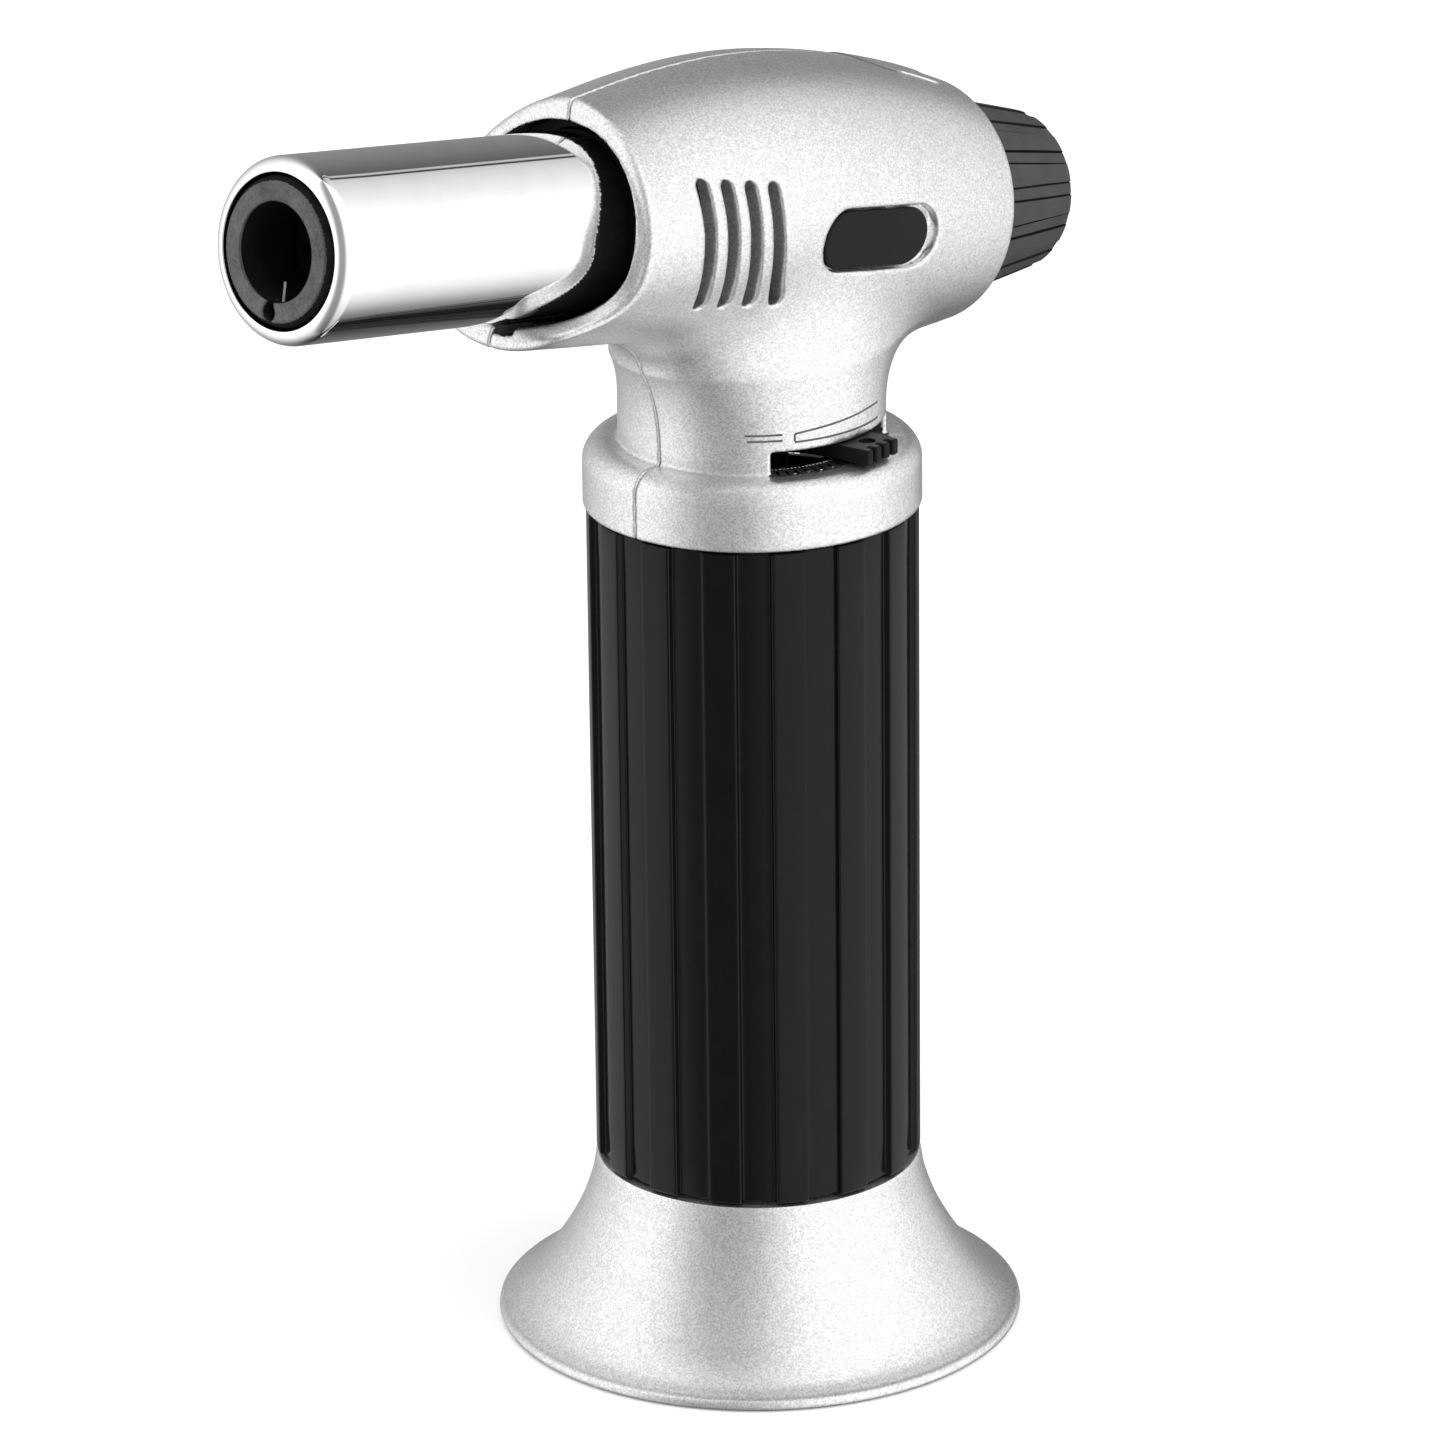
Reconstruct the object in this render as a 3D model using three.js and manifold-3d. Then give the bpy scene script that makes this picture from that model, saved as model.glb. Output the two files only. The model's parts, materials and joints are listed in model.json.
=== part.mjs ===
// Refillable butane torch: flared base, ribbed grip over the gas tank, split die-cast
// head with burner tube, piezo igniter knob, gas valve and flame lever.
// Millimetres, +Z up, +X where the flame points, +Y the torch's left side.
import * as THREE from 'three';
import { mergeVertices } from 'three/addons/utils/BufferGeometryUtils.js';
import Module from 'manifold-3d';

const wasm = await Module();
wasm.setup();

// ---- driving dimensions -------------------------------------------------------------
const HANDLE_X = -15.6;              // grip axis, so that the overall length is centred
const PITCH = THREE.MathUtils.degToRad(8.52);   // burner axis above the horizontal
const AXIS_HEIGHT = 149.5;           // burner axis where it crosses the grip axis
const FIT = 0.3;                     // gap between neighbouring pieces

const BASE_RADIUS = 34;
const BASE_TOP = 22.6;
const GRIP_RADIUS = 21;
const GRIP_BOTTOM = 22.9;
const GRIP_TOP = 110.5;
const GRIP_RIBS = 15;
const GRIP_CHANNEL_DEPTH = 0.8;
const GRIP_RIB_PHASE = THREE.MathUtils.degToRad(7.1);
const TANK_RADIUS = 18.6;
const TANK_WALL = 1.6;
const TANK_BOTTOM = 12;
const TANK_TOP = 104;

const COLLAR_RADIUS = 21.4;
const COLLAR_BOTTOM = 110.8;
const COLLAR_TOP = 119.4;
const NECK_RADIUS = 16.9;
const NECK_BLEND = 9;                // reach of the fillet between neck and pod
const FRONT_BLEND = 6;               // added to it in front of the neck
const WALL = 2.8;                    // head casting wall
const SEAM = 0.1;                    // half of the gap between the two head shells

const TUBE_RADIUS = 11.22;
const TUBE_BORE = 10.2;
const TUBE_REAR = 13;
const MUZZLE = 81.6;                 // muzzle face, along the burner axis
const LIP_BORE = 9.3;
const RING_FACE = 82.05;             // face of the burner ring inside the muzzle
const RING_RADIUS = 8.25;
const RING_BORE = 5.95;
const DISC_FACE = 73.1;
const ELECTRODE_DROP = 7.9;          // electrode below the burner axis
const ELECTRODE_TURN = THREE.MathUtils.degToRad(-3);    // and turned about it

const REAR_FACE = -33;               // rear rim of the head, along the burner axis
const KNOB_DROP = -1.65;             // knob axis against the burner axis
const KNOB_HOLE = 14;
const KNOB_BASE_RADIUS = 13.4;
const KNOB_END_RADIUS = 10.1;
const KNOB_LENGTH = 17.7;            // part of the knob outside the rim
const KNOB_RIBS = 16;

const SLOT_FROM = THREE.MathUtils.degToRad(51);   // flame lever slot round the neck
const SLOT_TO = THREE.MathUtils.degToRad(131);
const SLOT_TOP = 122.3;
const LEVER_ANGLE = THREE.MathUtils.degToRad(96.2);
const LEVER_BOTTOM = 119.75;
const LEVER_TOP = 121.9;

const PIVOT = { x: 6.5, z: 127 };    // valve lever pivot
const FINGER_END = 2.7;              // tip of the plunger's finger, along the knob axis
const VALVE_RADIUS = 4.6;
const SCREWS = [                     // screw axes across the head: along x and z
  { x: 0, z: 163 },
  { x: -16, z: 134 },
  { x: -10.2, z: 127 },
];

// Pod of the head across the burner axis: distance along the axis, top, bottom, half width.
const POD_SECTIONS = [
  [-42, 11.2, -15.6, 13.6],
  [-33, 13.9, -17.3, 15.6],
  [-22, 16.7, -18.6, 16.9],
  [-8, 18.8, -17.6, 17.8],
  [6, 19.3, -16.2, 18.0],
  [20, 18.0, -15.4, 17.7],
  [34.4, 15.2, -15.0, 17.2],
  [46, 12.6, -14.6, 16.9],
  [56, 10.6, -14.2, 16.6],
];

// ---- colours and finishes -----------------------------------------------------------
const SILVER_PAINT = { color: 0xc9cacb, roughness: 0.42, metalness: 0.55 };
const CHROME = { color: 0xd8d9da, roughness: 0.08, metalness: 1 };
const DULL_STEEL = { color: 0x6d6e70, roughness: 0.5, metalness: 0.9 };
const BRASS = { color: 0xb5893f, roughness: 0.35, metalness: 1 };
const BLACK_GLOSS = { color: 0x0b0b0c, roughness: 0.15, metalness: 0 };
const BLACK_SATIN = { color: 0x2a2a2b, roughness: 0.5, metalness: 0 };
const BLACK_MATTE = { color: 0x0d0d0d, roughness: 0.8, metalness: 0 };
const GREY_PLASTIC = { color: 0x55565a, roughness: 0.6, metalness: 0 };
const TANK_PLASTIC = { color: 0xb9bcc0, roughness: 0.3, metalness: 0 };
const CERAMIC = { color: 0xe8e4da, roughness: 0.4, metalness: 0 };
const RUBBER = { color: 0x151515, roughness: 0.9, metalness: 0 };

// ---- scene graph --------------------------------------------------------------------
const torch = new THREE.Group();
const upright = new THREE.Group();
upright.position.x = HANDLE_X;
torch.add(upright);
const burner = new THREE.Group();    // x along the burner axis, z up across it
burner.position.z = AXIS_HEIGHT;
burner.rotation.y = -PITCH;
upright.add(burner);
const knobAxis = new THREE.Group();
knobAxis.position.z = KNOB_DROP;
burner.add(knobAxis);
const sparkAxis = new THREE.Group();
sparkAxis.rotation.x = ELECTRODE_TURN;
burner.add(sparkAxis);

function addPart(parent, name, geometry, finish) {
  const mesh = new THREE.Mesh(geometry, new THREE.MeshStandardMaterial(finish));
  mesh.name = name;
  parent.add(mesh);
}

// ---- shape helpers ------------------------------------------------------------------
const vec2 = (x, y) => new THREE.Vector2(x, y);
const vec3 = (x, y, z) => new THREE.Vector3(x, y, z);

function outward(geometry) {
  const bare = geometry.clone();
  bare.deleteAttribute('normal');
  bare.deleteAttribute('uv');
  const merged = mergeVertices(bare, 1e-4);
  const position = merged.attributes.position;
  const old = merged.index.array;
  const a = vec3(0, 0, 0);
  const b = vec3(0, 0, 0);
  const c = vec3(0, 0, 0);
  const kept = [];
  let volume = 0;
  for (let i = 0; i < old.length; i += 3) {
    const [p, q, r] = [old[i], old[i + 1], old[i + 2]];
    if (p === q || q === r || r === p) continue;
    a.fromBufferAttribute(position, p);
    b.fromBufferAttribute(position, q);
    c.fromBufferAttribute(position, r);
    volume += a.dot(b.cross(c));
    kept.push(p, q, r);
  }
  if (volume < 0) kept.reverse();
  merged.setIndex(kept);
  merged.computeVertexNormals();
  return merged;
}

function toSolid(geometry) {
  const clean = outward(geometry);
  return new wasm.Manifold(new wasm.Mesh({
    numProp: 3,
    vertProperties: new Float32Array(clean.attributes.position.array),
    triVerts: new Uint32Array(clean.index.array),
  }));
}

function toGeometry(solid) {
  const mesh = solid.getMesh();
  const geometry = new THREE.BufferGeometry();
  geometry.setAttribute('position', new THREE.BufferAttribute(mesh.vertProperties, 3));
  geometry.setIndex(new THREE.BufferAttribute(mesh.triVerts, 1));
  geometry.computeVertexNormals();
  return geometry;
}

// Turned piece about +Z; each point is radius, height. The outline closes on itself.
function turned(points, segments) {
  const outline = points.map(([radius, height]) => vec2(radius, height));
  const onAxis = points[0][0] === 0 && points[points.length - 1][0] === 0;
  if (!onAxis) outline.push(outline[0].clone());
  return outward(new THREE.LatheGeometry(outline, segments).rotateX(Math.PI / 2));
}

// Turned piece about the burner axis; each point is radius, distance along the axis.
function turnedAlong(points, segments) {
  return turned(points, segments).rotateY(Math.PI / 2);
}

function tubeAlong(points, radius, segments, steps) {
  const shape = new THREE.Shape();
  shape.absarc(0, 0, radius, 0, 2 * Math.PI);
  const path = new THREE.CatmullRomCurve3(points);
  const options = { steps, curveSegments: segments / 2, bevelEnabled: false, extrudePath: path };
  return new THREE.ExtrudeGeometry(shape, options);
}

// Cylinder between two heights along +Y, standing at x, z.
function acrossY(x, z, radius, from, to, segments) {
  const geometry = new THREE.CylinderGeometry(radius, radius, to - from, segments);
  return geometry.translate(x, (from + to) / 2, z);
}

// Flat outline in the x-z plane, made thick along y.
function plateXZ(shape, from, to, curveSegments) {
  const options = { depth: to - from, bevelEnabled: false, curveSegments };
  return new THREE.ExtrudeGeometry(shape, options).rotateX(Math.PI / 2).translate(0, to, 0);
}

function sector(inner, outer, from, to, bottom, top, curveSegments) {
  const shape = new THREE.Shape();
  shape.absarc(0, 0, outer, from, to, false);
  shape.absarc(0, 0, inner, to, from, true);
  shape.closePath();
  const options = { depth: top - bottom, bevelEnabled: false, curveSegments };
  return new THREE.ExtrudeGeometry(shape, options).translate(0, 0, bottom);
}

function box(x0, x1, y0, y1, z0, z1) {
  const geometry = new THREE.BoxGeometry(x1 - x0, y1 - y0, z1 - z0);
  return geometry.translate((x0 + x1) / 2, (y0 + y1) / 2, (z0 + z1) / 2);
}

function ontoBurnerAxis(geometry) {
  return geometry.rotateY(-PITCH).translate(0, 0, AXIS_HEIGHT);
}

// ---- head surface -------------------------------------------------------------------
// Smooth curve through the pod sections: column 1 top, 2 bottom, 3 half width.
function podValue(u, column) {
  const rows = POD_SECTIONS;
  let i = 0;
  while (i < rows.length - 2 && u > rows[i + 1][0]) i += 1;
  const slope = (k) => {
    const before = rows[Math.max(k - 1, 0)];
    const after = rows[Math.min(k + 1, rows.length - 1)];
    return (after[column] - before[column]) / (after[0] - before[0]);
  };
  const span = rows[i + 1][0] - rows[i][0];
  const t = THREE.MathUtils.clamp((u - rows[i][0]) / span, 0, 1);
  const start = (1 + 2 * t) * (1 - t) ** 2 * rows[i][column] + t * (1 - t) ** 2 * span * slope(i);
  const end = t * t * (3 - 2 * t) * rows[i + 1][column] - t * t * (1 - t) * span * slope(i + 1);
  return start + end;
}

// Below zero inside the head, which is made smaller all round by the inset.
function headField(x, y, z, inset) {
  const u = x * Math.cos(PITCH) + (z - AXIS_HEIGHT) * Math.sin(PITCH);
  const w = (z - AXIS_HEIGHT) * Math.cos(PITCH) - x * Math.sin(PITCH);
  const top = podValue(u, 1);
  const bottom = podValue(u, 2);
  const halfHeight = (top - bottom) / 2 - inset;
  const halfWidth = podValue(u, 3) - inset;
  const across = Math.abs(y) / halfWidth;
  const rise = (w - (top + bottom) / 2) / halfHeight;
  const peak = THREE.MathUtils.smoothstep(u, 0, 34) * Math.max(0, 1 - inset / WALL);
  const power = rise > 0 ? 2 - 0.28 * peak : 2;
  const ratio = (across ** power + Math.abs(rise) ** power) ** (1 / power);
  const pod = (ratio - 1) * Math.min(halfWidth, halfHeight);
  const neckTaper = 0.5 * Math.max(0, z - 132) + 2 * Math.max(0, z - AXIS_HEIGHT);
  const neck = Math.hypot(x, y) - (NECK_RADIUS - neckTaper - inset);
  const ahead = Math.max(0, x) / Math.max(Math.hypot(x, y), 1e-6);
  const reach = NECK_BLEND + FRONT_BLEND * ahead * ahead;
  const mix = Math.max(reach - Math.abs(pod - neck), 0) / reach;
  const blended = Math.min(pod, neck) - mix * mix * reach / 4;
  return Math.max(blended, u - 53, -40 - u, 104 - z);
}

// Closed surface of the head: a sphere whose points are pushed out to the field's zero.
function headSurface(inset, around, along) {
  const centre = vec3(1, 0, AXIS_HEIGHT - 2);
  const geometry = new THREE.SphereGeometry(1, around, along).rotateZ(Math.PI / 2);
  const position = geometry.attributes.position;
  const direction = vec3(0, 0, 0);
  for (let i = 0; i < position.count; i += 1) {
    direction.fromBufferAttribute(position, i);
    direction.x *= 1.9;
    direction.normalize();
    let near = 0;
    let far = 80;
    for (let step = 0; step < 30; step += 1) {
      const middle = (near + far) / 2;
      const x = centre.x + direction.x * middle;
      const z = centre.z + direction.z * middle;
      if (headField(x, direction.y * middle, z, inset) < 0) near = middle;
      else far = middle;
    }
    direction.multiplyScalar(near).add(centre);
    position.setXYZ(i, direction.x, direction.y, direction.z);
  }
  return geometry;
}

// Everything in front of the mouth of the head, seen from the side.
function mouthCutter() {
  const shape = new THREE.Shape();
  shape.moveTo(33.9, 24);
  shape.lineTo(34.2, 12);
  shape.bezierCurveTo(35.4, 8, 36.3, 2, 36.3, -3);
  shape.bezierCurveTo(36.3, -8.5, 40.5, -9.6, 43, -11);
  shape.bezierCurveTo(44.6, -11.9, 45.2, -13, 45.4, -24);
  shape.lineTo(70, -24);
  shape.lineTo(70, 24);
  shape.closePath();
  return ontoBurnerAxis(plateXZ(shape, -26, 26, 6));
}

function capsule(rear, front, centre, halfHeight) {
  const shape = new THREE.Shape();
  shape.absarc(front - halfHeight, centre, halfHeight, -Math.PI / 2, Math.PI / 2, false);
  shape.absarc(rear + halfHeight, centre, halfHeight, Math.PI / 2, 1.5 * Math.PI, false);
  shape.closePath();
  return shape;
}

// Four curved cooling slots, bowed toward the front and fanned, cut through both sides.
function ventCutter(index) {
  const bow = 38;
  const half = THREE.MathUtils.degToRad(11.1);
  const width = 2.4;
  const shape = new THREE.Shape();
  const end = (angle) => vec2(bow * Math.cos(angle), bow * Math.sin(angle));
  const low = end(-half);
  const high = end(half);
  shape.absarc(0, 0, bow + width / 2, -half, half, false);
  shape.absarc(high.x, high.y, width / 2, half, Math.PI + half, false);
  shape.absarc(0, 0, bow - width / 2, half, -half, true);
  shape.absarc(low.x, low.y, width / 2, Math.PI - half, 2 * Math.PI - half, false);
  shape.closePath();
  const lean = THREE.MathUtils.degToRad(1.6 + 2.27 * index);
  const slot = plateXZ(shape, -26, 26, 3).translate(-bow, 0, 0).rotateY(lean);
  return slot.translate(25.3 - 4 * index, 0, 152.6 - 0.83 * index);
}

function badgePrism(gap) {
  const lean = THREE.MathUtils.degToRad(-1.9);
  const shape = capsule(-9.6 - 6 * gap, 9.9 + gap, 0, 3.75 + gap);
  return ontoBurnerAxis(plateXZ(shape, -26, 26, 8).rotateY(lean).translate(-4.9, 0, -1.5));
}

function collarSolid() {
  const outline = [[0, COLLAR_BOTTOM], [COLLAR_RADIUS, COLLAR_BOTTOM]];
  const round = 3;
  for (let i = 0; i <= 4; i += 1) {
    const angle = i * Math.PI / 8;
    const radius = COLLAR_RADIUS - round + round * Math.cos(angle);
    outline.push([radius, COLLAR_TOP - round + round * Math.sin(angle)]);
  }
  outline.push([0, COLLAR_TOP]);
  return toSolid(turned(outline, 44));
}

function badgeCutter() {
  const prism = toSolid(badgePrism(0.3));
  return prism.subtract(toSolid(headSurface(1.3, 28, 20)));
}

function headSolid() {
  let head = toSolid(headSurface(0, 36, 26));
  head = head.intersect(toSolid(box(-60, 80, -30, 30, COLLAR_TOP - 3, 190)));
  head = head.add(collarSolid());
  head = head.subtract(toSolid(headSurface(WALL, 24, 18)));
  head = head.subtract(toSolid(turned([[0, 100], [18.9, 100], [18.9, 116.6], [0, 116.6]], 36)));
  for (const screw of SCREWS) {
    const post = toSolid(acrossY(screw.x, screw.z, 2.5, -26, 26, 16));
    head = head.add(post.intersect(toSolid(headSurface(1, 20, 14))));
  }
  head = head.subtract(toSolid(mouthCutter()));
  const rear = ontoBurnerAxis(box(-60, REAR_FACE, -30, 30, -30, 30));
  head = head.subtract(toSolid(rear));
  const bore = turnedAlong([[0, -50], [KNOB_HOLE, -50], [KNOB_HOLE, -23], [0, -23]], 40);
  head = head.subtract(toSolid(ontoBurnerAxis(bore.translate(0, 0, KNOB_DROP))));
  for (let i = 0; i < 4; i += 1) head = head.subtract(toSolid(ventCutter(i)));
  head = head.subtract(badgeCutter());
  head = head.subtract(toSolid(sector(15, 24, SLOT_FROM, SLOT_TO, COLLAR_TOP, SLOT_TOP, 10)));
  head = head.subtract(toSolid(sector(10, 17.4, SLOT_FROM, SLOT_TO, 118, SLOT_TOP, 10)));
  for (const screw of SCREWS) {
    head = head.subtract(toSolid(acrossY(screw.x, screw.z, 1.4, -30, 7, 12)));
    head = head.subtract(toSolid(acrossY(screw.x, screw.z, 2.6, -30, -7.8, 16)));
  }
  return head;
}

function addHead() {
  const head = headSolid();
  const left = head.intersect(toSolid(box(-60, 80, SEAM, 40, 90, 200)));
  const right = head.intersect(toSolid(box(-60, 80, -40, -SEAM, 90, 200)));
  addPart(upright, 'head_shell_left', toGeometry(left), SILVER_PAINT);
  addPart(upright, 'head_shell_right', toGeometry(right), SILVER_PAINT);
  SCREWS.forEach((screw, i) => {
    const outline = [[0, -6], [1.1, -6], [1.1, 8.1], [2.2, 8.1], [2.2, 9.2], [1.6, 9.9], [0, 9.9]];
    const geometry = turned(outline, 16).rotateX(Math.PI / 2).translate(screw.x, 0, screw.z);
    addPart(upright, `shell_screw_${i + 1}`, geometry, DULL_STEEL);
  });
}

// Name plates let into both sides of the head; they carry no lettering.
function addBadges() {
  const prism = toSolid(badgePrism(0));
  const skin = toSolid(headSurface(0.25, 36, 26)).subtract(toSolid(headSurface(1.05, 36, 26)));
  const both = prism.intersect(skin);
  const left = both.intersect(toSolid(box(-60, 60, 5, 40, 90, 200)));
  const right = both.intersect(toSolid(box(-60, 60, -40, -5, 90, 200)));
  addPart(upright, 'badge_left', toGeometry(left), BLACK_GLOSS);
  addPart(upright, 'badge_right', toGeometry(right), BLACK_GLOSS);
}

// Sleeve that fills the head round the burner tube between two stations of its axis.
function headSleeve(from, to) {
  const slab = toSolid(ontoBurnerAxis(box(from, to, -20, 20, -13.6, 20)));
  const bore = toSolid(ontoBurnerAxis(turnedAlong([[0, -5], [11.55, -5], [11.55, 60], [0, 60]], 40)));
  const inside = toSolid(headSurface(WALL + FIT + 0.1, 24, 18));
  return toGeometry(inside.intersect(slab).subtract(bore));
}

// ---- burner -------------------------------------------------------------------------
function addBurner() {
  const outline = [[TUBE_BORE, TUBE_REAR], [TUBE_RADIUS, TUBE_REAR]];
  outline.push([TUBE_RADIUS, MUZZLE - 1.8]);
  for (let i = 1; i <= 4; i += 1) {
    const angle = i * Math.PI / 8;
    outline.push([9.45 + 1.77 * Math.cos(angle), MUZZLE - 1.8 + 1.8 * Math.sin(angle)]);
  }
  outline.push([LIP_BORE, MUZZLE - 0.15], [LIP_BORE, MUZZLE - 1.6], [TUBE_BORE, MUZZLE - 2.6]);
  addPart(burner, 'burner_tube', turnedAlong(outline, 48), CHROME);
  addPart(upright, 'mouth_liner', headSleeve(28.4, 30.6), BLACK_MATTE);
  addPart(upright, 'burner_holder', headSleeve(12.2, 28.1), GREY_PLASTIC);

  const flange = RING_FACE - 1.7;
  const cup = turnedAlong([[RING_BORE, 69], [6.6, 69], [6.6, flange], [9, flange],
    [9, RING_FACE - 0.85], [RING_RADIUS, RING_FACE], [RING_BORE, RING_FACE]], 36);
  const slit = toSolid(box(DISC_FACE, 84, -0.6, 0.6, -7.5, -4));
  const bulge = acrossY(0, 0, 1.05, DISC_FACE, 84, 16).rotateZ(-Math.PI / 2);
  const notch = slit.add(toSolid(bulge.translate(0, 0, 0.6 - ELECTRODE_DROP)));
  const ring = toSolid(cup.rotateX(-ELECTRODE_TURN)).subtract(notch);
  addPart(sparkAxis, 'burner_ring', toGeometry(ring), DULL_STEEL);

  let disc = toSolid(turnedAlong([[1, DISC_FACE - 1.6], [5.65, DISC_FACE - 1.6],
    [5.65, DISC_FACE], [1, DISC_FACE]], 32));
  for (let i = 0; i < 6; i += 1) {
    const angle = i * Math.PI / 3 + 0.28;
    const hole = new THREE.CylinderGeometry(0.7, 0.7, 6, 10).rotateZ(Math.PI / 2);
    hole.translate(DISC_FACE, 3.8 * Math.cos(angle), 3.8 * Math.sin(angle));
    disc = disc.subtract(toSolid(hole));
  }
  addPart(burner, 'flame_disc', toGeometry(disc), DULL_STEEL);

  const pipe = turnedAlong([[4.8, 15], [5.6, 15], [5.6, 68.7], [4.8, 68.7]], 28);
  addPart(burner, 'mixing_tube', pipe, BRASS);

  const socket = toSolid(turnedAlong([[5.9, 13.4], [9.9, 13.4], [9.9, 18], [5.9, 18]], 36));
  const passage = turnedAlong([[0, 12], [1.3, 12], [1.3, 20], [0, 20]], 14);
  passage.translate(0, 0, -ELECTRODE_DROP).rotateX(ELECTRODE_TURN);
  const pierced = socket.subtract(toSolid(passage));
  addPart(burner, 'burner_socket', toGeometry(pierced), DULL_STEEL);

  const jet = toSolid(turnedAlong([[0, 2], [3, 2], [3, 10.2], [2, 11.5], [2, 14.4], [0.6, 14.4],
    [0.6, 13], [0, 13]], 24));
  const inlet = toSolid(turned([[0, -6.8], [1.5, -6.8], [1.5, 0], [0, 0]], 16).translate(5, 0, 0));
  const bore = toSolid(turned([[0, -9], [0.8, -9], [0.8, 0.8], [0, 0.8]], 12).translate(5, 0, 0));
  const gallery = toSolid(turnedAlong([[0, 4.4], [0.8, 4.4], [0.8, 12], [0.4, 12.4], [0.4, 16],
    [0, 16]], 12));
  const nozzle = jet.add(inlet).subtract(bore).subtract(gallery);
  addPart(burner, 'jet_nozzle', toGeometry(nozzle), BRASS);

  const low = -ELECTRODE_DROP;
  const sleeve = turnedAlong([[0.55, 12.6], [0.95, 12.6], [0.95, 76], [0.55, 76]], 14);
  addPart(sparkAxis, 'electrode_sleeve', sleeve.translate(0, 0, low), CERAMIC);
  const pin = [vec3(11.6, 0, low), vec3(30, 0, low), vec3(60, 0, low), vec3(77.7, 0, low),
    vec3(79.1, 0, low + 0.5), vec3(79.6, -0.1, low + 2), vec3(79.5, -0.2, low + 4.1)];
  addPart(sparkAxis, 'electrode', tubeAlong(pin, 0.28, 6, 30), DULL_STEEL);
}

// ---- ignition -----------------------------------------------------------------------
function addIgnition() {
  const rearEnd = REAR_FACE - KNOB_LENGTH;
  const taper = (KNOB_BASE_RADIUS - KNOB_END_RADIUS) / KNOB_LENGTH;
  const outline = [[0, rearEnd], [KNOB_END_RADIUS - 1.3, rearEnd],
    [KNOB_END_RADIUS - 0.35, rearEnd + 0.4], [KNOB_END_RADIUS + 0.15, rearEnd + 1.4],
    [KNOB_BASE_RADIUS, REAR_FACE], [KNOB_BASE_RADIUS, -29.4], [11.4, -29.4],
    [8.6, rearEnd + 2.4], [3.6, rearEnd + 2.4], [3.6, -28.6], [0, -28.6]];
  let knob = toSolid(turnedAlong(outline, 32));
  for (let i = 0; i < KNOB_RIBS; i += 1) {
    const channel = box(-24, 24, -1, 1, 0, 2).rotateY(-Math.atan(taper));
    channel.translate(REAR_FACE - KNOB_LENGTH / 2, 0, (KNOB_BASE_RADIUS + KNOB_END_RADIUS) / 2 - 0.5);
    channel.rotateX((i + 0.5) * 2 * Math.PI / KNOB_RIBS);
    knob = knob.subtract(toSolid(channel));
  }
  addPart(knobAxis, 'ignition_knob', toGeometry(knob), BLACK_SATIN);

  const slider = toSolid(box(-28.2, -13.6, -2.9, 2.9, -2.9, 2.9));
  const finger = toSolid(box(-25, -22.6, -6.2, 0, -8.2, -2));
  const rod = toSolid(box(-25, FINGER_END, -6.2, -4.8, -8.2, -6.2));
  addPart(knobAxis, 'piezo_plunger', toGeometry(slider.add(finger).add(rod)), GREY_PLASTIC);

  const shell = toSolid(box(-17.6, -2.5, -4.2, 4.2, -4.2, 4.2));
  const hollow = toSolid(box(-18.6, -8.4, -3.25, 3.25, -3.25, 3.25));
  addPart(knobAxis, 'piezo_body', toGeometry(shell.subtract(hollow)), BLACK_SATIN);

  const pinEnd = vec3(11.2, 0, -ELECTRODE_DROP).applyAxisAngle(vec3(1, 0, 0), ELECTRODE_TURN);
  const route = [vec3(-4, 5.3, -3.5), vec3(-1, 5.4, -4.4), vec3(3, 5.6, -7), vec3(7, 3.4, -9),
    vec3(9.4, -0.9, -8.4), pinEnd];
  addPart(burner, 'ignition_wire', tubeAlong(route, 0.7, 8, 18), RUBBER);
}

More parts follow.
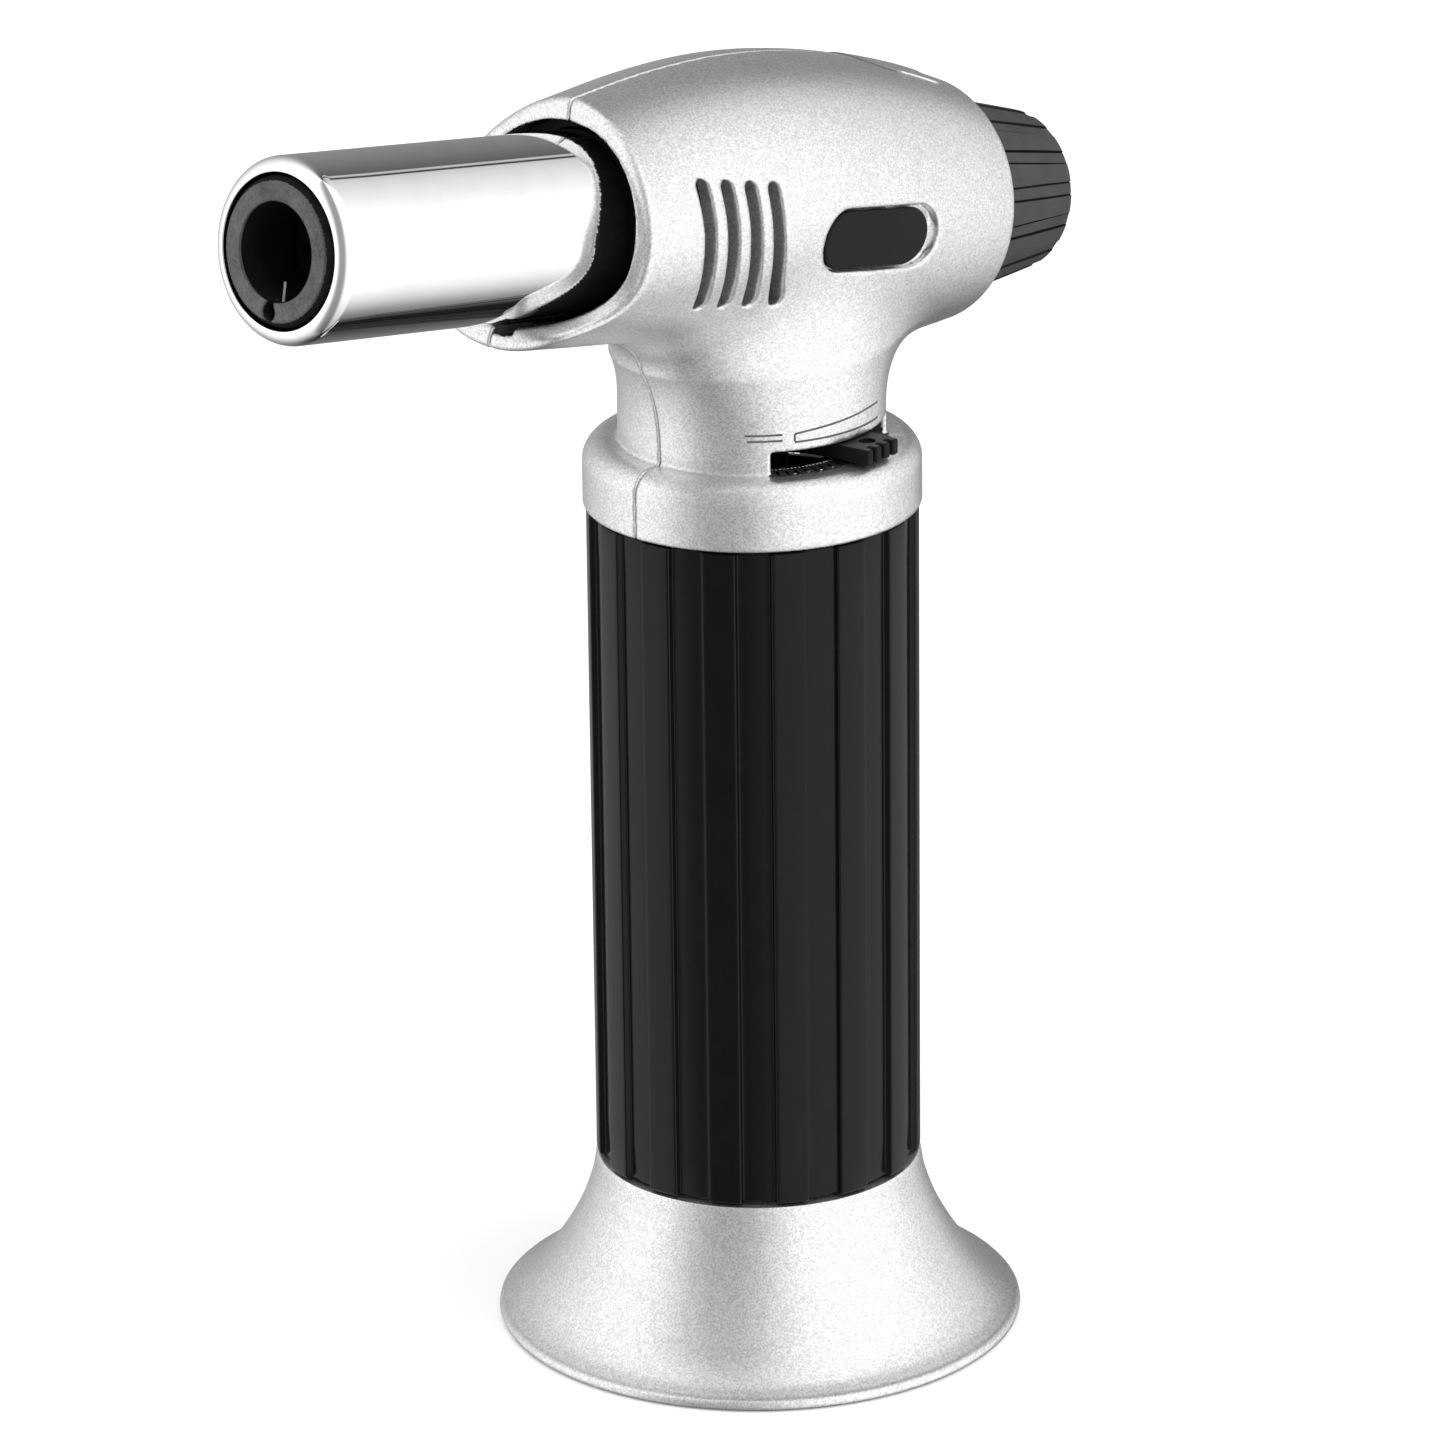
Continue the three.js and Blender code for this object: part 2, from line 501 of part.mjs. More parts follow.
// ---- gas valve and lever ------------------------------------------------------------
function addValve() {
  const body = [[0.8, 98], [4.4, 98], [4.4, 106.2], [6.8, 107.6], [6.8, 110.4], [VALVE_RADIUS, 111.4],
    [VALVE_RADIUS, 123], [2.1, 123], [2.1, 119.4], [3.4, 119.4], [3.4, 104], [0.8, 104]];
  addPart(upright, 'gas_valve', turned(body, 24), BRASS);
  const stem = [[0, 105], [2.9, 105], [2.9, 108.6], [1.6, 108.6], [1.6, 126.1], [3.1, 126.1],
    [3.1, 127.3], [1.2, 127.3], [1.2, 132.2], [0, 132.2]];
  addPart(upright, 'valve_stem', turned(stem, 20), BRASS);
  addPart(upright, 'valve_spring', coilSpring(2.5, 0.3, 109.2, 118.8, 4), DULL_STEEL);

  const outline = new THREE.Shape();
  outline.moveTo(PIVOT.x - 2.4, PIVOT.z - 2);
  outline.lineTo(PIVOT.x + 1.2, PIVOT.z - 2);
  outline.absarc(PIVOT.x, PIVOT.z, 2.2, -Math.PI / 3, 0, false);
  outline.lineTo(PIVOT.x + 1.6, PIVOT.z + 15.6);
  outline.lineTo(PIVOT.x - 0.6, PIVOT.z + 15.6);
  outline.lineTo(PIVOT.x - 1.6, PIVOT.z + 3);
  outline.closePath();
  const hub = new THREE.Path();
  hub.absarc(PIVOT.x, PIVOT.z, 1.3, 0, 2 * Math.PI, true);
  outline.holes.push(hub);
  const arm = toSolid(plateXZ(outline, -6.3, -4.7, 6));
  const bridge = toSolid(box(2.2, 4.4, -6.3, 3.4, 124.6, 125.8));
  const nearProng = toSolid(box(-0.8, 3, 2.2, 3.4, 124.6, 125.8));
  const farProng = toSolid(box(-0.8, 4.4, -3.4, -2.2, 124.6, 125.8));
  const root = toSolid(box(2.2, 5.4, -6.3, -4.7, 124.6, 126.2));
  const lever = arm.add(bridge).add(nearProng).add(farProng).add(root);
  addPart(upright, 'valve_lever', toGeometry(lever), DULL_STEEL);
  addPart(upright, 'lever_pin', acrossY(PIVOT.x, PIVOT.z, 1, -9, -2.4, 16), DULL_STEEL);

  const start = vec3(0, 0, 129.4);
  const inlet = vec3(5, 0, -3.4).applyAxisAngle(vec3(0, 1, 0), -PITCH);
  inlet.z += AXIS_HEIGHT;
  const down = vec3(0, 0, -4).applyAxisAngle(vec3(0, 1, 0), -PITCH).add(inlet);
  const path = [start, vec3(0.1, 0, 133.4), vec3(2.6, 0, 138), down, inlet];
  const above = inlet.clone().lerp(down, -0.5);
  const bore = [vec3(0, 0, 127), ...path, above];
  const hose = toSolid(tubeAlong(path, 2.5, 12, 14));
  const hollow = toSolid(tubeAlong(bore, 1.82, 12, 16));
  addPart(upright, 'gas_hose', toGeometry(hose.subtract(hollow)), RUBBER);
}

function coilSpring(radius, wire, bottom, top, turns) {
  const points = [];
  const count = turns * 8;
  for (let i = 0; i <= count; i += 1) {
    const angle = i * 2 * Math.PI / 8;
    const height = bottom + wire + (top - bottom - 2 * wire) * i / count;
    points.push(vec3(radius * Math.cos(angle), radius * Math.sin(angle), height));
  }
  return tubeAlong(points, wire, 6, turns * 10);
}

// Thumb lever that turns the flow ring round the gas valve, and the notched arc under it.
function addFlameLever() {
  const ring = toSolid(turned([[4.95, LEVER_BOTTOM], [8.4, LEVER_BOTTOM], [8.4, LEVER_TOP],
    [4.95, LEVER_TOP]], 32));
  const arm = toSolid(box(6.5, 19.3, -3.3, 3.3, LEVER_BOTTOM, LEVER_TOP));
  const bore = toSolid(turned([[0, 110], [4.95, 110], [4.95, 130], [0, 130]], 32));
  let lever = ring.add(arm).subtract(bore);
  for (let i = 0; i < 4; i += 1) {
    const y = (i - 1.5) * 1.75;
    lever = lever.add(toSolid(box(19, 20.4, y - 0.6, y + 0.6, LEVER_BOTTOM - 0.1, LEVER_TOP - 0.1)));
  }
  const dimple = turned([[0, LEVER_TOP - 0.6], [1.1, LEVER_TOP - 0.6], [1.1, 130], [0, 130]], 16);
  lever = lever.subtract(toSolid(dimple.translate(17.8, 0, 0)));
  addPart(upright, 'flame_lever', toGeometry(lever).rotateZ(LEVER_ANGLE), BLACK_SATIN);

  const from = SLOT_FROM + 0.03;
  const to = SLOT_TO - 0.03;
  let arc = toSolid(sector(12.2, 17.1, from, to, 118.25, 119, 6));
  const teeth = 18;
  for (let i = 0; i < teeth; i += 1) {
    const angle = from + 0.03 + (to - from - 0.06) * i / (teeth - 1);
    const tooth = box(15.4, 17, -0.18, 0.18, 118.8, 119.35).rotateZ(angle);
    arc = arc.add(toSolid(tooth));
  }
  addPart(upright, 'detent_arc', toGeometry(arc), BLACK_MATTE);
}

// ---- grip, tank and base ------------------------------------------------------------
function addGrip() {
  const shape = new THREE.Shape();
  const pitch = 2 * Math.PI / GRIP_RIBS;
  const low = GRIP_RADIUS - GRIP_CHANNEL_DEPTH;
  const slope = 0.035;
  for (let i = 0; i < GRIP_RIBS; i += 1) {
    const centre = GRIP_RIB_PHASE + i * pitch;
    const quarter = pitch / 4;
    shape.absarc(0, 0, GRIP_RADIUS, centre - quarter + slope, centre + quarter - slope, false);
    shape.absarc(0, 0, low, centre + quarter + slope, centre + 3 * quarter - slope, false);
  }
  shape.closePath();
  const bore = new THREE.EllipseCurve(0, 0, TANK_RADIUS + FIT, TANK_RADIUS + FIT);
  shape.holes.push(new THREE.Path(bore.getPoints(40)));
  const options = { depth: GRIP_TOP - GRIP_BOTTOM, bevelEnabled: false, curveSegments: 2 };
  const sleeve = new THREE.ExtrudeGeometry(shape, options).translate(0, 0, GRIP_BOTTOM);
  addPart(upright, 'grip_sleeve', sleeve, BLACK_GLOSS);
}

function addTank() {
  const bore = TANK_RADIUS - TANK_WALL;
  const cup = [[3.3, TANK_BOTTOM], [TANK_RADIUS, TANK_BOTTOM], [TANK_RADIUS, TANK_TOP],
    [bore, TANK_TOP], [bore, TANK_BOTTOM + 2.4], [3.3, TANK_BOTTOM + 2.4]];
  addPart(upright, 'tank_body', turned(cup, 40), TANK_PLASTIC);
  const plug = bore - 0.2;
  const cap = [[4.9, 98.4], [plug, 98.4], [plug, 100.2], [14.95, 100.2], [14.95, 102.2],
    [plug, 102.2], [plug, 104.3], [TANK_RADIUS, 104.3], [TANK_RADIUS, 107], [13, 107],
    [13, 112], [7.2, 112], [7.2, 107.2], [4.9, 105.8]];
  addPart(upright, 'tank_cap', turned(cap, 32), GREY_PLASTIC);
  const seal = new THREE.TorusGeometry(15.98, 0.75, 6, 28).translate(0, 0, 101.2);
  addPart(upright, 'tank_seal', seal, RUBBER);
}

function addFillValve() {
  const body = [[1.1, 6.5], [2.6, 6.5], [2.6, 10.2], [5, 10.2], [5, 11.7], [3, 11.7], [3, 22],
    [1.3, 22], [1.3, 20.5], [2.3, 20.5], [2.3, 9], [1.1, 9]];
  addPart(upright, 'fill_valve', turned(body, 20), BRASS);
  const stem = [[0, 5.6], [0.75, 5.6], [0.75, 9.3], [1.9, 9.3], [1.9, 10.5], [0.75, 10.5],
    [0.75, 17], [0, 17]];
  addPart(upright, 'fill_stem', turned(stem, 14), BRASS);
  addPart(upright, 'fill_spring', coilSpring(1.6, 0.28, 10.8, 20.2, 4), DULL_STEEL);
  addPart(upright, 'fill_seal', turned([[1.2, 5.6], [2.4, 5.6], [2.4, 6.2], [1.2, 6.2]], 20), RUBBER);
}

// Flared stand: a moulded skirt with a deck under the tank.
function addBase() {
  const socket = TANK_RADIUS + FIT;
  const flare = new THREE.SplineCurve([vec2(33.1, 1.7), vec2(31.3, 2.8), vec2(29.4, 4.5),
    vec2(27.5, 7), vec2(25.4, 10), vec2(23.3, 14), vec2(21.7, 18.5), vec2(GRIP_RADIUS, BASE_TOP)]);
  const outline = [[BASE_RADIUS - 0.7, 0], [BASE_RADIUS - 0.15, 0.3], [BASE_RADIUS, 0.8]];
  outline.push([BASE_RADIUS - 0.25, 1.3]);
  for (const point of flare.getPoints(8)) outline.push([point.x, point.y]);
  outline.push([socket, BASE_TOP], [socket, 11.7], [5.4, 11.7], [5.4, 9.7], [22.3, 9.7]);
  outline.push([24.6, 7], [27.2, 4], [29.4, 2.2], [31.2, 1], [31.6, 0]);
  addPart(upright, 'base_stand', turned(outline, 48), SILVER_PAINT);
}

addHead();
addBadges();
addBurner();
addIgnition();
addValve();
addFlameLever();
addGrip();
addTank();
addFillValve();
addBase();

export default torch;
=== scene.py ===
"""Butane torch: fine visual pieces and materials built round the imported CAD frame.

Working units are millimetres in the grip-axis frame; they become metres when a mesh is made.
Burner-axis coordinates are u along the burner, v to the torch's left and w up across it.
"""
import json
import math
from functools import partial

import bpy
import numpy as np
from mathutils import Matrix, Vector


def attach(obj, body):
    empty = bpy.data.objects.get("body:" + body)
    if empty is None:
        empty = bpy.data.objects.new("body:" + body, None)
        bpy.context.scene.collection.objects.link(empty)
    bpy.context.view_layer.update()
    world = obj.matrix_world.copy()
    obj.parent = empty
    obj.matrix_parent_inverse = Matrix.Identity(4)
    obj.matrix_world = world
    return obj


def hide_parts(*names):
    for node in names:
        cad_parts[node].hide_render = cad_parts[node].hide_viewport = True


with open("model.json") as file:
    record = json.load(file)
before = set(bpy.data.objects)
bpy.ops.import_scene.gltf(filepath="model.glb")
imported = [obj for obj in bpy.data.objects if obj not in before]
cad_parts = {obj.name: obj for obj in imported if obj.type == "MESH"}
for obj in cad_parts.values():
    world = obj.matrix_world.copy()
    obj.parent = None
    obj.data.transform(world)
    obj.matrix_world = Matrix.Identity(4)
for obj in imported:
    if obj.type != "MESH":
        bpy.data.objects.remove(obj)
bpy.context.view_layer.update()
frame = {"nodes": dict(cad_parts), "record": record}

# ---- dimensions shared with the CAD ----
HANDLE_X = -15.6
PITCH = math.radians(8.52)
AXIS_HEIGHT = 149.5
COS, SIN = math.cos(PITCH), math.sin(PITCH)
COLLAR_RADIUS, COLLAR_BOTTOM, COLLAR_TOP = 21.4, 110.8, 119.4
NECK_RADIUS, NECK_BLEND, FRONT_BLEND = 16.9, 9.0, 6.0
WALL = 2.8
SEAM = 0.1
TUBE_RADIUS, TUBE_BORE, TUBE_REAR, MUZZLE, LIP_BORE = 11.22, 10.2, 13.0, 81.6, 9.3
RING_FACE, RING_RADIUS, RING_BORE, DISC_FACE = 82.05, 8.25, 5.95, 73.1
ELECTRODE_DROP, ELECTRODE_TURN = 7.9, math.radians(-3)
REAR_FACE, KNOB_DROP, KNOB_HOLE = -33.0, -1.65, 14.0
KNOB_BASE_RADIUS, KNOB_END_RADIUS, KNOB_LENGTH, KNOB_RIBS = 13.4, 10.1, 17.7, 16
SLOT_FROM, SLOT_TO, SLOT_TOP = math.radians(51), math.radians(131), 122.3
LEVER_ANGLE, LEVER_BOTTOM, LEVER_TOP = math.radians(96.2), 119.75, 121.9
GRIP_RADIUS, GRIP_BOTTOM, GRIP_TOP, GRIP_RIBS = 21.0, 22.9, 110.5, 15
GRIP_CHANNEL_DEPTH, GRIP_RIB_PHASE, GRIP_BORE = 0.8, math.radians(7.1), 18.9
BASE_RADIUS, BASE_TOP = 34.0, 22.6
SCREWS = ((0, 163), (-16, 134), (-10.2, 127))
POD_SECTIONS = np.array([
    (-42, 11.2, -15.6, 13.6), (-33, 13.9, -17.3, 15.6), (-22, 16.7, -18.6, 16.9),
    (-8, 18.8, -17.6, 17.8), (6, 19.3, -16.2, 18.0), (20, 18.0, -15.4, 17.7),
    (34.4, 15.2, -15.0, 17.2), (46, 12.6, -14.6, 16.9), (56, 10.6, -14.2, 16.6)])

# ---- dimensions of the fine detail ----
SKIN = 0.02                     # the drawn skin of the head lies this far inside the CAD's
POD_REAR, POD_FRONT = -40, 53
PEAK, PEAK_FULL = 0.28, 34      # how much the pod's top sharpens, and from which u on fully
TAPER_FROM, TAPER, AXIS_TAPER = 132, 0.5, 2    # neck's narrowing, and more over the axis
PAD_FRONT, PAD_REAR, PAD_HALF, PAD_RISE = (-22.3, 0), (-24.8, 0), 4.9, 0.13
SOCKET_RADIUS, SOCKET_TOP = 18.9, 116.6        # collar's socket for the grip
KNOB_HOLE_END = -23
POST_RADIUS, POCKET_RADIUS, POCKET_FLOOR = 3.9, 2.6, 7.8
SLOT_BACK = 10
REBATE_SIDE, REBATE_TOP, REBATE_REAR, REBATE_DEPTH = 3.3, -8, 34, 0.9
VENTS, VENT_WIDTH, VENT_BEVEL, VENT_BOW, VENT_HALF_TURN = 4, 2.4, 0.45, 38.0, math.radians(11.1)
VENT_PLACE, VENT_STEP = (25.3, 152.6), (-4, -0.83)
VENT_LEAN, VENT_LEAN_STEP = 1.6, 2.27
BADGE_PLACE, BADGE_LEAN = (-4.9, -1.5), math.radians(1.9)
BADGE_REAR, BADGE_FRONT, BADGE_HALF, BADGE_TAIL = -9.6, 9.9, 3.75, 6
PLATE_FACE, PLATE_BACK, RECESS_DEPTH, RECESS_REAR, RECESS_RAMP = 0.25, 1.05, 1.3, -16.8, 1.4
SCREW_HEAD, SCREW_SHANK, SCREW_END, SCREW_CROSS = 2.2, 1.1, -6, (0.28, 1.25, 9.05)
SCREW_SEAT, SCREW_CROWN, DOME_MIDDLE, DOME_RADIUS = 8.1, 9.9, 6.7, 3.15
LIP_WIDTH, LIP_LENGTH = 1.75, 1.8
RING_REAR, RING_BODY, FLANGE_RADIUS, FLANGE_DEPTH = 69, 6.6, 9.0, 1.7
SLIT_HALF, SLIT_TOP, SLIT_END, NOTCH_RADIUS = 0.6, 4, 7.5, 1.05
MARK_WIDTH, WEDGE_FROM, WEDGE_TURN, WEDGE_HEIGHT = 0.26, 61.4, 50, 0.97
WEDGE_TOP, WEDGE_BOTTOM, WEDGE_FULL = 124.54, 123.5, 42
TRACK_RADIUS, TRACK_WAVE, TRACK_FROM, TRACK_TEETH = 14.35, 0.28, 51.8, 41
PIPS, PIP_RADIUS, PIP_FROM, PIP_STEP = 4, 16.5, 61.6, 6.2
KNOB_FRONT, KNOB_HOLLOW, KNOB_SPIGOT, SPIGOT_END = -29.4, 8.6, 3.6, -28.6
LEVER_RING, LEVER_BORE, ARM_HALF, ARM_FROM, ARM_END = 8.4, 4.95, 3.3, 6.5, 19.3
LEVER_RIBS, RIB_PITCH, RIB_HALF, RIB_FROM, RIB_END = 4, 1.75, 0.6, 18.8, 20.4
DIMPLE_X, DIMPLE_RADIUS, DIMPLE_DEPTH = 17.8, 1.1, 0.6
BASE_FLOOR, BASE_CEILING, VALVE_HOLE = 11.7, 9.7, 5.4    # socket's floor, hollow's ceiling


# ---- coordinates ----
def grip_place(u, w):
    """x and z on the grip axis of u and w on the burner axis."""
    return u * COS - w * SIN, AXIS_HEIGHT + u * SIN + w * COS


def burner_place(x, z):
    """u and w on the burner axis of x and z on the grip axis."""
    return x * COS + (z - AXIS_HEIGHT) * SIN, (z - AXIS_HEIGHT) * COS - x * SIN


def burner_to_grip(p):
    """Points u, v, w to x, y, z on the grip axis."""
    x, z = grip_place(p[:, 0], p[:, 2])
    return np.stack([x, p[:, 1], z], axis=1)


def knob_to_grip(p):
    """The same for points drawn round the knob's own axis."""
    return burner_to_grip(p + np.array([0, 0, KNOB_DROP]))


# ---- making objects ----
def new_object(name, data):
    """An object in the scene for a mesh, camera or light."""
    made = bpy.data.objects.new(name, data)
    bpy.context.scene.collection.objects.link(made)
    return made


def smooth_mesh(name, points, faces, material):
    """A smooth mesh of one material; points are in metres."""
    mesh = bpy.data.meshes.new(name)
    mesh.from_pydata(points, [], faces)
    mesh.validate()
    mesh.polygons.foreach_set("use_smooth", [True] * len(mesh.polygons))
    mesh.materials.append(material)
    return mesh


def make_piece(name, shape, body, material, replaces, to_grip=None, sharp=None,
               inlay=None):
    """An object from a shape's points and faces, in the shared frame, riding on its body.

    An inlay is (material, choose): choose takes the middles of the faces, as drawn, and
    picks the faces that get that second material."""
    drawn, faces = np.asarray(shape[0], float), shape[1]
    points = (to_grip(drawn) if to_grip else drawn) + np.array([HANDLE_X, 0, 0])
    mesh = smooth_mesh(name, (points * 0.001).tolist(), [list(f) for f in faces], material)
    if sharp:
        mesh.set_sharp_from_angle(angle=math.radians(sharp))
    if inlay:
        middles = np.array([drawn[list(f)].mean(axis=0) for f in faces])
        mesh.materials.append(inlay[0])
        mesh.polygons.foreach_set("material_index", inlay[1](middles).astype(np.int32))
    piece = new_object(name, mesh)
    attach(piece, body)
    if replaces:
        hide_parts(*replaces)


def rings_joined(rows, segments, spans):
    """Quads from each row of points to the next, and from the last one to the first."""
    faces = []
    for i in range(spans):
        near, far = i * segments, (i + 1) % rows * segments
        for k in range(segments):
            n = (k + 1) % segments
            faces.append((near + k, near + n, far + n, far + k))
    return faces


def lathe(outline, segments, about_burner=False):
    """Turned closed outline of (radius, height), or one that starts and ends on the axis."""
    on_axis = outline[0][0] == 0 and outline[-1][0] == 0
    rows = outline[1:-1] if on_axis else outline
    count = len(rows)
    angle = np.arange(segments) * 2 * math.pi / segments
    ring = np.stack([np.cos(angle), np.sin(angle)], axis=1)
    points = [(radius * c, radius * s, height) for radius, height in rows for c, s in ring]
    faces = rings_joined(count, segments, count - 1 if on_axis else count)
    if on_axis:
        for row, end in ((0, outline[0]), (count - 1, outline[-1])):
            centre = len(points)
            points.append((0, 0, end[1]))
            for k in range(segments):
                n = (k + 1) % segments
                pair = (row * segments + k, row * segments + n)
                faces.append((centre, *pair[::-1]) if row == 0 else (centre, *pair))
    return outward(np.array(points), faces, about_burner)


def outward(points, faces, about_burner=False):
    """Closed mesh with its faces turned outward; about the burner, its heights become u."""
    volume = 0.0
    for face in faces:
        a = points[face[0]]
        for b, c in zip(face[1:], face[2:]):
            volume += float(np.dot(a, np.cross(points[b], points[c])))
    if volume < 0:
        faces = [tuple(reversed(f)) for f in faces]
    return (np.roll(points, 1, axis=1) if about_burner else points), faces


def rounded(outline, radius):
    """Outline with each corner replaced by a small arc of the given reach."""
    result = []
    count, steps = len(outline), 4
    for i, corner in enumerate(outline):
        corner = np.array(corner, float)
        before = np.array(outline[i - 1], float) - corner
        after = np.array(outline[(i + 1) % count], float) - corner
        reach = min(radius, np.linalg.norm(before) * 0.45, np.linalg.norm(after) * 0.45)
        if corner[0] == 0 or reach < 1e-3:
            result.append(tuple(corner))
            continue
        start = corner + before / np.linalg.norm(before) * reach
        end = corner + after / np.linalg.norm(after) * reach
        for k in range(steps + 1):
            t = k / steps
            point = start * (1 - t) ** 2 + corner * 2 * t * (1 - t) + end * t * t
            result.append(tuple(point))
    return result


def ribbed_lathe(rows, ribs, channel, land, phase, about_burner=False):
    """Turned closed outline whose rows of (radius, height, share) carry channels.

    channel lists (distance from the channel's middle, depth) and land lists the places
    between two channels as shares of the pitch; a row's depth is multiplied by its share.
    """
    pitch = 2 * math.pi / ribs
    least = min(row[0] for row in rows if row[2] > 0)
    points = []
    for radius, height, share in rows:
        for rib in range(ribs):
            middle = phase + rib * pitch
            spots = [(middle + reach / max(radius, least), depth) for reach, depth in channel]
            spots += [(middle + part * pitch, 0) for part in land]
            for angle, depth in spots:
                r = radius - depth * share
                points.append((r * math.cos(angle), r * math.sin(angle), height))
    count = ribs * (len(channel) + len(land))
    faces = rings_joined(len(rows), count, len(rows))
    return outward(np.array(points), faces, about_burner)


def inlaid_line(route, width, proud=0.03, sunk=0.2, facing=None):
    """Closed strip along points on a surface that faces away from the grip axis, or facing."""
    path = np.array(route)
    ahead = np.gradient(path, axis=0)
    out = path * np.array([1, 1, 0]) if facing is None else np.tile(facing, (len(path), 1))
    out = out / np.linalg.norm(out, axis=1, keepdims=True)
    beside = np.cross(ahead, out)
    beside *= width / 2 / np.linalg.norm(beside, axis=1, keepdims=True)
    rings = np.stack([path + beside + out * proud, path - beside + out * proud,
                      path - beside - out * sunk, path + beside - out * sunk], axis=1)
    last = 4 * (len(path) - 1)
    faces = [(0, 1, 2, 3), (last + 3, last + 2, last + 1, last)]
    for i in range(len(path) - 1):
        for k in range(4):
            n = (k + 1) % 4
            faces.append((4 * i + k, 4 * i + 4 + k, 4 * i + 4 + n, 4 * i + n))
    return outward(rings.reshape(-1, 3), faces)


def joined(meshes):
    """One mesh of several closed ones."""
    points, faces = [], []
    for more, sides in meshes:
        faces += [tuple(len(points) + i for i in f) for f in sides]
        points += list(more)
    return points, faces


def smooth_curve(points, per_span):
    """Catmull-Rom curve through the points."""
    p = np.array(points, float)
    padded = np.concatenate([[2 * p[0] - p[1]], p, [2 * p[-1] - p[-2]]])
    result = []
    for i in range(len(p) - 1):
        a, b, c, d = padded[i:i + 4]
        for k in range(per_span):
            t = k / per_span
            result.append(tuple(0.5 * (2 * b + (c - a) * t + (2 * a - 5 * b + 4 * c - d) * t * t
                                       + (3 * b - a - 3 * c + d) * t ** 3)))
    result.append(tuple(p[-1]))
    return result


# ---- fields: below zero inside ----
def round_cut(a, b, radius):
    """Intersection of two fields with a rounded outer edge."""
    outside = np.hypot(np.maximum(a + radius, 0), np.maximum(b + radius, 0))
    return np.minimum(-radius, np.maximum(a, b)) + outside


def round_join(a, b, radius):
    """Union of two fields with a fillet."""
    inside = np.hypot(np.maximum(radius - a, 0), np.maximum(radius - b, 0))
    return np.maximum(radius, np.minimum(a, b)) - inside


def segment_distance(x, y, a, b):
    """Distance in the plane from a straight line between two points."""
    ax, ay = a
    bx, by = b[0] - ax, b[1] - ay
    t = np.clip(((x - ax) * bx + (y - ay) * by) / (bx * bx + by * by), 0, 1)
    return np.hypot(x - ax - t * bx, y - ay - t * by)


def slab(axis, part):
    """Index of a grid: part of one axis, and all of the other two."""
    index = [slice(None)] * 3
    index[axis] = part
    return tuple(index)


def net(field, low, high, cell):
    """Surface net of a field's zero: points and outward quads of a closed mesh."""
    axes = [np.arange(low[i] - 1.5 * cell, high[i] + 2.5 * cell, cell) for i in range(3)]
    value = field(*np.ix_(*axes))
    value = np.broadcast_to(value, tuple(len(a) for a in axes)).astype(np.float32)
    inside = value < 0
    cells = tuple(n - 1 for n in value.shape)
    total = np.zeros(cells + (3,), np.float32)
    count = np.zeros(cells, np.float32)
    crossings = []
    for axis in range(3):
        near, far = slab(axis, slice(0, -1)), slab(axis, slice(1, None))
        cross = inside[near] != inside[far]
        gap = value[near] - value[far]
        t = np.where(cross, value[near] / np.where(gap == 0, 1, gap), 0)
        crossings.append((cross, inside[near]))
        b, c = [k for k in range(3) if k != axis]
        for ob in (0, 1):
            for oc in (0, 1):
                pick = [slice(None)] * 3
                pick[b] = slice(ob, ob + cells[b])
                pick[c] = slice(oc, oc + cells[c])
                hit = cross[tuple(pick)]
                count += hit
                total[..., axis] += np.where(hit, t[tuple(pick)], 0)
                total[..., b] += hit * ob
                total[..., c] += hit * oc
    used = count > 0
    index = np.full(cells, -1, np.int64)
    index[used] = np.arange(used.sum())
    where = np.argwhere(used)
    local = total[used] / count[used][:, None]
    origin = np.array([a[0] for a in axes])
    points = origin + (where + local) * cell
    quads = []
    for axis in range(3):
        cross, start_in = crossings[axis]
        b, c = (axis + 1) % 3, (axis + 2) % 3
        keep = np.ones(cross.shape, bool)
        for k in (b, c):
            keep[slab(k, 0)] = False
            keep[slab(k, -1)] = False
        at = np.argwhere(cross & keep)
        forward = start_in[tuple(at.T)]
        ring = []
        for db, dc in ((-1, -1), (0, -1), (0, 0), (-1, 0)):
            moved = at.copy()
            moved[:, b] += db
            moved[:, c] += dc
            ring.append(index[tuple(moved.T)])
        quad = np.stack(ring, axis=1)
        quad[~forward] = quad[~forward][:, ::-1]
        quads.append(quad)
    points = settle(field, points, cell)
    return points, np.concatenate(quads).tolist()


def settle(field, points, cell):
    """Moves the points onto the field's zero along its slope."""
    step = cell * 0.25
    for _ in range(3):
        x, y, z = points.T
        value = field(x, y, z)
        slope = np.stack([
            field(x + step, y, z) - field(x - step, y, z),
            field(x, y + step, z) - field(x, y - step, z),
            field(x, y, z + step) - field(x, y, z - step)], axis=1) / (2 * step)
        size = np.maximum((slope ** 2).sum(axis=1), 0.2)
        move = -(value / size)[:, None] * slope
        length = np.linalg.norm(move, axis=1, keepdims=True)
        move *= np.minimum(1, 0.3 * cell / np.maximum(length, 1e-9))
        points = points + move
    return points


# ---- head ----
def pod_value(u, column):
    """Smooth curve through the pod sections: column 1 top, 2 bottom, 3 half width."""
    at = POD_SECTIONS[:, 0]
    row = POD_SECTIONS[:, column]
    slope = np.empty(len(at))
    slope[1:-1] = (row[2:] - row[:-2]) / (at[2:] - at[:-2])
    slope[0] = (row[1] - row[0]) / (at[1] - at[0])
    slope[-1] = (row[-1] - row[-2]) / (at[-1] - at[-2])
    i = np.clip(np.searchsorted(at, u, side="left") - 1, 0, len(at) - 2)
    span = at[i + 1] - at[i]
    t = np.clip((u - at[i]) / span, 0, 1)
    start = (1 + 2 * t) * (1 - t) ** 2 * row[i] + t * (1 - t) ** 2 * span * slope[i]
    end = t * t * (3 - 2 * t) * row[i + 1] - t * t * (1 - t) * span * slope[i + 1]
    return start + end


